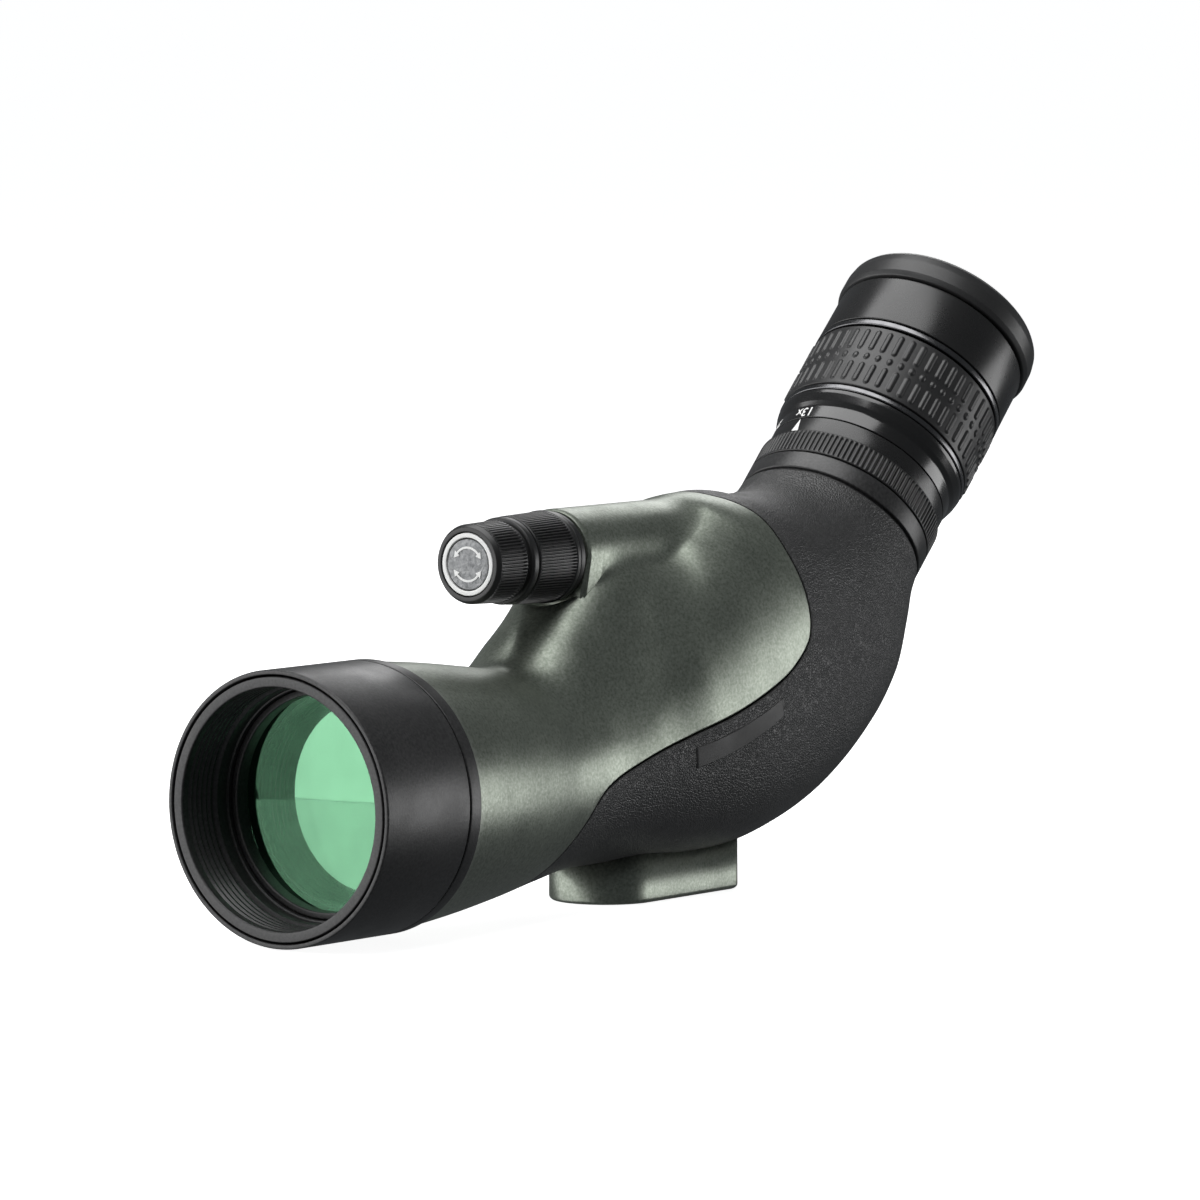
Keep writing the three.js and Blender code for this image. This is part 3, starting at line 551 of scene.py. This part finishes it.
def make_housing():
    columns = body_columns()
    seam = seam_offset(columns, 0.0)
    edge_r = 0.3
    core = ARMOUR + 0.3
    rows = [(np.minimum(s, seam), 0.0) for s in OUTER_ROWS if s < 199]
    for phi in np.radians([0, 22, 45, 68, 90]):
        rows.append((seam_offset(columns, edge_r * math.sin(phi)), edge_r * (1 - math.cos(phi))))
    lip = seam_offset(columns, edge_r)
    rows.append((lip, core))
    rows += [(lip + (SPLIT_S - lip) * f, core) for f in np.linspace(0.08, 1, 12)]
    covered = [smoothstep(seam - 12, seam - 2, s) for s in inner_rows(SPLIT_S)]
    rows += [(s, WALL + core * c) for s, c in zip(inner_rows(SPLIT_S), covered)][::-1]
    housing = shell("housing", rows, columns, look=GREEN, body="scope_body",
                    nodes=("main_housing",), slot="green_coat", crease=30)
    hole = [(0, 96), (SHAFT_HOLE_R, 96), (SHAFT_HOLE_R, 113), (0, 113)]
    cut(housing, turned("cutter", hole, KNOB, STEEL, None, radius=0, segments=64))
    for y in FOOT_SCREWS:
        cut(housing, upright_rod(SCREW_HOLE_R, y, -30, -10))


def make_armour():
    columns = body_columns()
    edge_r = 0.45
    foot_of_edge = seam_offset(columns, GAP + 0.3)
    top_of_edge = seam_offset(columns, GAP + 0.3 + edge_r)
    rows = [(foot_of_edge, ARMOUR)]
    for phi in np.radians([0, 22, 45, 68, 90]):
        rows.append((seam_offset(columns, GAP + 0.3 + edge_r * (1 - math.cos(phi))),
                     edge_r * (1 - math.sin(phi))))
    rows += [(np.maximum(s, top_of_edge), 0.0) for s in OUTER_ROWS if s > 71]
    for phi in np.radians([30, 60, 90]):
        rows.append((NECK_S - 0.6 + 0.5 * math.sin(phi), 0.5 * (1 - math.cos(phi))))
    rows.append((NECK_S - 0.1, ARMOUR))
    rows += [(foot_of_edge + (NECK_S - 0.1 - foot_of_edge) * f, ARMOUR)
             for f in np.linspace(0.975, 0.025, 36)]
    armour = shell("armour", rows, columns, look=ARMOUR_RUBBER, body="scope_body",
                   nodes=("rubber_armour",), slot="armour_rubber", crease=32)
    cut(armour, foot_block("cutter", 0.3, -12, edge=0))


def make_nameplate():
    """A blank plate bedded in the armour under the rising edge, its corners given on the body."""
    low_front, high_front = (125.0, 1.0), (124.5, 12.0)
    low_rear, high_rear = (159.0, 9.5), (160.0, 17.5)
    along, up = np.meshgrid(np.linspace(0, 1, 61), np.linspace(0, 1, 17), indexing="ij")
    corners = (low_front, low_rear, high_front, high_rear)
    weights = ((1 - along) * (1 - up), along * (1 - up), (1 - along) * up, along * up)
    s = sum(w * c[0] for w, c in zip(weights, corners))
    angle = sum(w * c[1] for w, c in zip(weights, corners))
    edge = np.minimum(np.minimum(along, 1 - along) * 38, np.minimum(up, 1 - up) * 6)
    height = 0.14 - 0.30 * (1 - np.clip(edge / 0.35, 0, 1)) ** 2
    top = body_points(s, angle, -height).reshape(-1, 3)
    bottom = body_points(s, angle, np.full(s.shape, 0.8)).reshape(-1, 3)
    columns = s.shape[1]
    i, j = np.meshgrid(np.arange(s.shape[0] - 1), np.arange(columns - 1), indexing="ij")
    a = (i * columns + j).reshape(-1)
    quads = np.stack([a, a + 1, a + columns + 1, a + columns], -1)
    faces = [list(f) for f in quads] + [list(f) for f in quads + len(top)]
    rim = list(range(columns)) + list(range(2 * columns - 1, len(top), columns))
    rim += list(range(len(top) - 2, len(top) - columns - 1, -1))
    rim += list(range(len(top) - 2 * columns, 0, -columns))
    for here, after in zip(rim, rim[1:] + rim[:1]):
        faces.append([here, after, after + len(top), here + len(top)])
    piece("nameplate", np.concatenate([top, bottom]), faces, OPTICAL, PLATE_DARK, "scope_body", (),
          "black_coat")


def foot_outline(grow):
    """Plan of the foot: round front end, straight sides and small round rear corners."""
    half = FOOT_HALF_WIDTH + grow
    corner = 2.5
    rear = FOOT_REAR + grow
    turns = np.radians(np.linspace(0, 180, 41))
    front = [(half * math.cos(a), FOOT_FRONT - half * math.sin(a)) for a in turns]
    quarter = np.radians(np.linspace(0, 90, 9))
    left = [(-half + corner - corner * math.cos(a), rear - corner + corner * math.sin(a))
            for a in quarter]
    right = [(half - corner + corner * math.sin(a), rear - corner + corner * math.cos(a))
             for a in quarter]
    return np.array(front + left + right)


def foot_block(name, grow, top, edge, **facts):
    """The foot's plan drawn up from its sole, with the sole's edge rounded to a radius."""
    levels = [(grow - edge - 5, FOOT_Z), (grow - edge, FOOT_Z)]
    if edge:
        levels += [(grow - edge * (1 - math.sin(a)), FOOT_Z + edge * (1 - math.cos(a)))
                   for a in np.radians([15, 30, 45, 60, 75, 90])]
    levels += [(grow, top), (grow - 5, top)]
    outlines = [np.c_[foot_outline(g), np.full(len(foot_outline(g)), z)] for g, z in levels]
    count = len(outlines[0])
    points = np.concatenate(outlines)
    faces = [list(f) for f in loop_faces(len(levels), count, closed_rows=False)]
    faces += [list(range(count)), list(range(len(points) - count, len(points)))]
    settings = {"look": GREEN, "body": None, **facts}
    return piece(name, points, faces, OPTICAL, **settings)


def make_foot():
    foot = foot_block("foot", 0.0, -14.0, 1.2, look=GREEN, body="scope_body",
                      nodes=("tripod_foot",), slot="green_coat")
    columns = np.arange(-90, 270, 3.0)
    count = len(columns)
    s = np.broadcast_to(np.arange(100, 222, 2.0)[:, None], (61, count))
    rings = body_points(s, np.broadcast_to(columns, s.shape), ARMOUR)
    faces = [list(f) for f in loop_faces(len(rings), count, closed_rows=False)]
    total = len(rings) * count
    faces += [list(range(count)), list(range(total - count, total))]
    cut(foot, piece("cutter", rings.reshape(-1, 3), faces, OPTICAL, STEEL, None))
    cut(foot, upright_rod(SOCKET_R, SOCKET_Y, -40, -24.5))
    for y in FOOT_SCREWS:
        cut(foot, upright_rod(SCREW_HOLE_R, y, -40, -10))
        cut(foot, upright_rod(SCREW_HEAD_HOLE_R, y, -40, -28.4))

    pitch = 1.27
    thread = [(5, FOOT_Z + 0.1), (5, -24.9)]
    for i in range(6):
        z = -24.9 - pitch * i
        thread += [(3.1, z - 0.1, 0.05), (3.55, z - 0.6, 0.05)]
    thread.append((3.1, FOOT_Z + 0.1))
    turned("socket_thread", thread, upright(SOCKET_Y), STEEL, "scope_body", ("thread_insert",), "steel",
           radius=0.15, segments=72)

    for i, y in enumerate(FOOT_SCREWS):
        turned(f"foot_screw_{i + 1}_look", [
            (0, -30.6), (1.5, -30.6), (1.5, -31.9), (3, -31.9), (3, -28.8), (1.5, -28.8), (1.5, -19.4),
            (0, -19.4)], upright(y), STEEL, "scope_body", (f"foot_screw_{i + 1}",), "steel", segments=48)


# ------------------------------------------------------------------ hood and objective


def make_objective():
    bore = HOOD_R - 1.1
    turned("hood_look", [
        (bore, 0, 0.3), (HOOD_R, 0, 0.5), (HOOD_R, HOOD_LENGTH, 0.35), (30.2, HOOD_LENGTH),
        (30.2, 29.5, 0.05), (31.2, 29.5, 0.05), (31.2, 28, 0.05), (30.2, 28, 0.05), (30.2, 26.7),
        (bore, 26.7),
    ], OPTICAL, BLACK, "hood", ("hood_sleeve",), "black_coat", segments=256)
    turned("front_ring_look", [
        (28, 31.1), (HOOD_R, 31.1, 0.35), (HOOD_R, 35, 0.35), (28, 35),
    ], OPTICAL, BLACK, "scope_body", ("front_ring",), "black_coat", segments=256)

    ridge_count = 6
    pitch = 1.75
    teeth = []
    for i in range(ridge_count, 0, -1):
        y = 1.1 + pitch * i
        teeth += [(28.55, y - 0.05, 0.08), (28.0, y - 0.55, 0.12), (28.0, y - 1.15, 0.12)]
    turned("objective_tube_look", [
        (30.4, 0.1, 0.35), (30.4, 4), (29.8, 4), (29.8, 30.9), (27.6, 30.9), (27.6, 42), (26, 42),
        (26, 58), (24.4, 58), (24.4, 31.4), (26.9, 31.4), (26.9, 15.7), (27.4, 15.7), (27.4, 12.2),
        *teeth, (28, 0.1, 0.5),
    ], OPTICAL, BLACK, "scope_body", ("objective_tube",), "black_coat", segments=192)
    turned("retainer_look", [(25.1, 16.6, 0.4), (26.6, 16.6), (26.6, 20.5), (25.1, 20.5)],
           OPTICAL, BLACK, "scope_body", ("objective_retainer",), "black_coat", segments=144)
    dome("objective_lens_look", 26.6, 18.3, 160, 26.5, -85, OPTICAL, OBJECTIVE_GLASS,
         ("objective_front_lens",))
    dome("objective_rear_look", 26.6, 27.4, -190, 30.9, -900, OPTICAL, OBJECTIVE_GLASS,
         ("objective_rear_lens",))


def dome(name, radius, front, front_curve, back, back_curve, place, look, nodes):
    """A lens: where each face meets the axis and its radius, positive when its centre lies behind."""
    def face(at, curve, r):
        return at + math.copysign(abs(curve) - math.sqrt(curve * curve - r * r), curve)
    steps = 24
    radii = [radius * i / steps for i in range(steps + 1)]
    outline = [(r, face(front, front_curve, r), 0) for r in radii]
    outline += [(r, face(back, back_curve, r), 0) for r in reversed(radii)]
    return turned(name, outline, place, look, "scope_body", nodes, "coated_glass", segments=128)


# ------------------------------------------------------------------ focus knobs


def make_knobs():
    # The inner boss closes the slit between the coarse knob and the ridge.
    turned("knob_seat_look", [
        (6.6, 99), (8.4, 99), (8.4, 102.4), (10.7, 102.4), (10.7, 104.1), (6.6, 104.1),
    ], KNOB, KNOB_BLACK, "scope_body", ("knob_seat_ring",), "knob_black", segments=96)
    turned("coarse_knob_look", [
        (2.6, 86.6), (10.5, 86.6, 0.5), (10.9, 100.4, 0.2), (11.08, 100.7, 0.2), (11.08, 101.9, 0.3),
        (8.9, 101.9), (8.9, 88.8), (2.6, 88.8),
    ], KNOB, KNOB_BLACK, "coarse_focus", ("coarse_knob",), "knob_black", segments=COARSE_RIBS * 10,
        relief=ribs(COARSE_RIBS, 86.9, 100.5, 0.50, 0.8, 0.25), step=0.7, beyond=9.5)
    turned("fine_knob_look", [
        (0, 73.4), (7.7, 73.4, 0.1), (7.7, 71.6, 0.2), (8.7, 71.6, 0.4), (9.45, 72.7, 0.4),
        (9.75, 82.6, 0.3), (9.1, 82.9), (9.1, 84.0, 0.2), (10.35, 84.1, 0.9), (10.4, 86.3, 0.5),
        (8.3, 86.3), (8.3, 77), (3.8, 77), (3.8, 82), (2.3, 82), (2.3, 74.6), (0, 74.6),
    ], KNOB, KNOB_BLACK, "fine_focus", ("fine_knob",), "knob_black", segments=FINE_RIBS * 10,
        relief=ribs(FINE_RIBS, 73.0, 82.4, 0.48, 0.8, 0.25), step=0.7, beyond=9.2)
    turned("cap_ring_look", [(6.3, 71.7), (7.4, 71.7), (7.4, 73.1), (6.3, 73.1)], KNOB, WHITE,
           "fine_focus", ("cap_ring",), "white_print", radius=0.2, segments=96)
    turned("cap_disc_look", [(0, 71.9), (6.0, 71.9, 0.25), (6.0, 73.1), (0, 73.1)], KNOB, CAP_GREY,
           "fine_focus", ("cap_disc",), "cap_grey", segments=96)
    make_focus_mark()


def make_focus_mark():
    """Two curved double-headed arrows on the cap: a plain sign for turning both ways."""
    depth = (71.72, 71.95)
    for turn in (0, 180):
        angles = np.radians(np.linspace(40, 140, 25) + turn)
        outer = [(4.2 * math.cos(a), 4.2 * math.sin(a)) for a in angles]
        inner = [(3.7 * math.cos(a), 3.7 * math.sin(a)) for a in angles[::-1]]
        flat_piece(f"focus_arc_{turn}", outer + inner, depth)
        for end, way in ((40, -1), (140, 1)):
            a = math.radians(end + turn)
            out = Vector((math.cos(a), math.sin(a)))
            ahead = Vector((-math.sin(a), math.cos(a))) * way
            base = out * 3.95
            tip = [base + out * 0.85, base - out * 0.85, base + ahead * 1.5]
            flat_piece(f"focus_tip_{turn}_{end}", [tuple(p) for p in tip], depth)


def flat_piece(name, outline, depth):
    """A thin raised print on the front of the cap, from an outline in X and Z."""
    count = len(outline)
    points = [(x, depth[0], z) for x, z in outline] + [(x, depth[1], z) for x, z in outline]
    faces = [list(range(count)), list(range(count, 2 * count))]
    faces += [[i, (i + 1) % count, count + (i + 1) % count, count + i] for i in range(count)]
    piece(name, points, faces, KNOB, WHITE, "fine_focus", (), "white_print")


# ------------------------------------------------------------------ eyepiece


def grip_relief(phi, t):
    """Three rounds of raised bars on the zoom grip: long, dot, long."""
    half = 0.65
    height = 0.42
    pitch = 2 * math.pi / GRIP_RIBS
    across = 25.4 * (np.mod(phi + pitch / 2, pitch) - pitch / 2)
    level = 0 * phi * t
    for start, end in ((29.7, 35.8), (37.1, 38.9), (40.1, 46.4)):
        along = np.maximum(np.maximum(start + half - t, t - end + half), 0)
        depth = np.clip((half - np.hypot(across, along)) / 0.45, 0, 1)
        level = np.maximum(level, height * np.sqrt(1 - (1 - depth) ** 2))
    return level


def make_eyepiece():
    bore = 17.9
    turned("collar_look", [
        (bore, -8), (20.1, -8), (20.1, -0.1), (23.7, -0.1), (23.7, 0.7, 0.1), (24.6, 0.8, 0.4),
        (24.6, 5.9, 0.4), (bore, 5.9),
    ], EYEPIECE, BLACK, "scope_body", ("eyepiece_collar",), "black_coat", segments=192)
    turned("clamp_look", [(22.5, 6.2), (24.6, 6.2, 0.35), (24.6, 13, 0.35), (22.5, 13)], EYEPIECE,
           KNOB_BLACK, "clamp", ("clamp_ring",), "knob_black", segments=CLAMP_RIBS * 8,
           relief=ribs(CLAMP_RIBS, 6.5, 12.7, 0.50, 0.5, 0.30), step=0.5, beyond=24.0)
    turned("index_look", [(22.5, 13.3), (23.7, 13.3, 0.15), (23.7, 17.8, 0.15), (22.5, 17.8)],
           EYEPIECE, LENS_BARREL, "scope_body", ("index_ring",), "black_coat", segments=192)
    turned("zoom_ring_look", [
        (19.3, 18.1), (23.7, 18.1, 0.15), (23.7, 21.8, 1.5), (24.35, 23.2, 2.5), (24.95, 25.2, 1.5),
        (25.1, 26.2, 0.2), (24.2, 26.2, 0.1), (24.2, 28.1, 0.1), (22.6, 28.1), (22.6, 47.7),
        (19.3, 47.7),
    ], EYEPIECE, GLOSS, "zoom", ("zoom_ring",), "black_coat", segments=192)
    turned("trim_look", [(24.4, 26.5), (25.2, 26.5, 0.35), (25.2, 28, 0.35), (24.4, 28)], EYEPIECE,
           DARK_TRIM, "zoom", ("bright_trim",), "bright_trim", segments=192)
    turned("grip_look", [(22.9, 28.4), (25.2, 28.4, 0.3), (25.2, 47.6, 0.3), (22.9, 47.6)], EYEPIECE,
           GRIP, "zoom", ("zoom_grip",), "grip_rubber", segments=GRIP_RIBS * 16,
           relief=grip_relief, step=0.26, beyond=24.8, crease=60)
    turned("upper_trim_look", [(19.4, 48.2), (25.4, 48.2, 0.35), (25.4, 49.8, 0.35), (19.4, 49.8)],
           EYEPIECE, DARK_TRIM, "zoom", ("grip_trim",), "bright_trim", segments=192)
    turned("sleeve_look", [
        (19.3, 50.2), (25.35, 50.2, 0.3), (25.2, 64.2, 0.5), (24.1, 64.2), (24.1, 52), (19.3, 52),
    ], EYEPIECE, LENS_BARREL, "scope_body", ("ocular_sleeve",), "black_coat", segments=192)
    turned("eyecup_tube_look", [(22.6, 52.6), (23.7, 52.6), (23.7, 69.7), (22.6, 69.7)], EYEPIECE,
           BLACK, "eyecup", ("eyecup_tube",), "black_coat", segments=144)
    turned("eyecup_lip_look", [
        (24, 64.6), (25.6, 64.8, 0.4), (26.15, 66.2, 0.8), (26.1, 69.8, 3), (25.7, 71.8, 1),
        (24.9, 73, 0.8), (22.4, 72.8, 0.8), (18.8, 69.6, 0.8), (19, 67.6), (22.2, 67.6), (22.2, 70), (24, 70),
    ], EYEPIECE, GRIP, "eyecup", ("eyecup_rubber",), "grip_rubber", segments=192, radius=0.3)
    turned("eye_cell_look", [
        (15.2, 50.2), (17.6, 50.2), (17.6, 62.1), (18.9, 62.1), (18.9, 63.4, 0.3), (15.6, 63.4, 0.4),
        (13.6, 62.2, 0.2), (13.6, 60.6), (15.2, 60.6),
    ], EYEPIECE, BLACK, "scope_body", ("eye_lens_cell",), "black_coat", segments=128)
    dome("eye_lens_look", 14.9, 52.5, 35, 60, -120, EYEPIECE, EYE_GLASS, ("eye_lens",))
    make_index_mark()
    for number, turn in (("13x", 0), ("20", 30), ("26", 60), ("32", 90), ("39", 120)):
        dial_number(number, INDEX_ANGLE + turn)


def on_ring(across, t, height, angle):
    """A point on the printed rings, from the distance round them and along the axis."""
    phi = math.radians(angle) + across / DIAL_R
    r = DIAL_R + height
    return (r * math.cos(phi), t, r * math.sin(phi))


def make_index_mark():
    """White pointer on the fixed ring, its tip towards the zoom scale."""
    steps = 6
    outline = [(1.2 - 1.2 * k / steps, 13.5 + 4.1 * k / steps) for k in range(steps + 1)]
    outline += [(-1.2 * k / steps, 17.6 - 4.1 * k / steps) for k in range(1, steps + 1)]
    outline += [(x, 13.5) for x in (-0.6, 0.0, 0.6)]
    centre = (0.0, 14.9)
    points = [on_ring(x, t, h, INDEX_ANGLE) for h in (0.05, -0.1) for x, t in outline + [centre]]
    count = len(outline)
    faces = []
    for i in range(count):
        j = (i + 1) % count
        faces += [[i, j, count], [count + 1 + j, count + 1 + i, 2 * count + 1],
                  [i, j, count + 1 + j, count + 1 + i]]
    piece("index_mark", points, faces, EYEPIECE, WHITE, "scope_body", (), "white_print")


def dial_number(text, angle):
    """A raised white number of the zoom scale, wrapped round the ring with its foot towards the eye."""
    curve = bpy.data.curves.new("number", "FONT")
    curve.body = text
    curve.align_x = "CENTER"
    curve.align_y = "CENTER"
    curve.size = 3.9
    curve.offset = 0.03
    curve.extrude = 0.08
    curve.resolution_u = 4
    maker = bpy.data.objects.new("number", curve)
    bpy.context.scene.collection.objects.link(maker)
    graph = bpy.context.evaluated_depsgraph_get()
    flat = bpy.data.meshes.new_from_object(maker.evaluated_get(graph))
    points = [on_ring(v.co.x, 20.1 - v.co.y, v.co.z - 0.03, angle) for v in flat.vertices]
    faces = [list(p.vertices) for p in flat.polygons]
    bpy.data.objects.remove(maker)
    bpy.data.curves.remove(curve)
    bpy.data.meshes.remove(flat)
    piece(f"dial_{text}", points, faces, EYEPIECE, WHITE, "zoom", (), "white_print")


# ------------------------------------------------------------------ studio


def dress_frame():
    """Gives every CAD piece that stays in view the look of its material slot."""
    for part in frame["record"]["subparts"]:
        mesh = frame["nodes"][part["node"]].data
        mesh.materials.clear()
        mesh.materials.append(SLOT_LOOKS[part["material_slot"]])


def softbox(name, direction, distance, width, height, radiance):
    """A rectangular area light that faces the scope from a direction."""
    light = bpy.data.lights.new(name, "AREA")
    light.shape = "RECTANGLE"
    light.size = width
    light.size_y = height
    light.energy = radiance * math.pi * width * height
    obj = bpy.data.objects.new(name, light)
    way = Vector(direction).normalized()
    obj.location = Vector((0, 0.02, 0.06)) + way * distance
    obj.rotation_mode = "QUATERNION"
    obj.rotation_quaternion = way.to_track_quat("Z", "Y")
    bpy.context.scene.collection.objects.link(obj)


def make_studio():
    scene = bpy.context.scene
    world = bpy.data.worlds.new("studio")
    world.use_nodes = True
    world.node_tree.nodes["Background"].inputs["Color"].default_value = (0.90, 0.95, 1.0, 1)
    world.node_tree.nodes["Background"].inputs["Strength"].default_value = 0.10
    scene.world = world
    scene.view_settings.view_transform = "Standard"

    floor_half = 60.0
    mesh = bpy.data.meshes.new("floor")
    corners = [(-floor_half, -floor_half, 0), (floor_half, -floor_half, 0),
               (floor_half, floor_half, 0), (-floor_half, floor_half, 0)]
    mesh.from_pydata(corners, [], [(0, 1, 2, 3)])
    floor = bpy.data.objects.new("floor", mesh)
    scene.collection.objects.link(floor)
    n = Nodes("floor_paper")
    n.link(n.blend(n.noise(40.0), (0.80, 0.80, 0.80), (0.84, 0.84, 0.84)), n.shader.inputs["Base Color"])
    n.shader.inputs["Roughness"].default_value = 0.9
    n.shader.inputs["Emission Color"].default_value = (1, 1, 1, 1)
    n.shader.inputs["Emission Strength"].default_value = 0.92
    mesh.materials.append(n.material)
    floor.visible_glossy = False
    floor.visible_diffuse = False
    floor.visible_shadow = False

    softbox("overhead_softbox", (-0.10, -0.20, 0.97), 1.3, 1.6, 1.0, 3.9)
    softbox("rear_softbox", (-0.36, 0.80, 0.48), 1.3, 0.6, 0.5, 2.6)
    softbox("right_softbox", (0.68, 0.72, -0.06), 1.3, 0.75, 0.5, 3.6)
    softbox("front_softbox", (-0.63, -0.755, 0.20), 1.4, 2.0, 0.9, 2.4)
    softbox("low_front_panel", (-0.57, -0.70, -0.40), 1.5, 2.0, 0.95, 1.5)


def make_camera():
    """A long lens in front of the scope, to its right and a little above it."""
    azimuth, elevation = math.radians(CAMERA_AZIMUTH), math.radians(CAMERA_ELEVATION)
    back = Vector((math.sin(azimuth) * math.cos(elevation), -math.cos(azimuth) * math.cos(elevation),
                   math.sin(elevation)))
    right = Vector((math.cos(azimuth), math.sin(azimuth), 0))
    up = back.cross(right)
    camera = bpy.data.cameras.new("camera")
    camera.sensor_width = 36
    camera.lens = 237.36
    camera.clip_end = 200
    obj = bpy.data.objects.new("camera", camera)
    turn = Matrix((right, up, back)).transposed().to_4x4()
    obj.matrix_world = Matrix.Translation(OPTICAL @ Vector(CAMERA_PLACE)) @ turn
    bpy.context.scene.collection.objects.link(obj)
    bpy.context.scene.camera = obj


make_objective()
make_housing()
make_armour()
make_nameplate()
make_foot()
make_knobs()
make_eyepiece()
dress_frame()
make_studio()
make_camera()
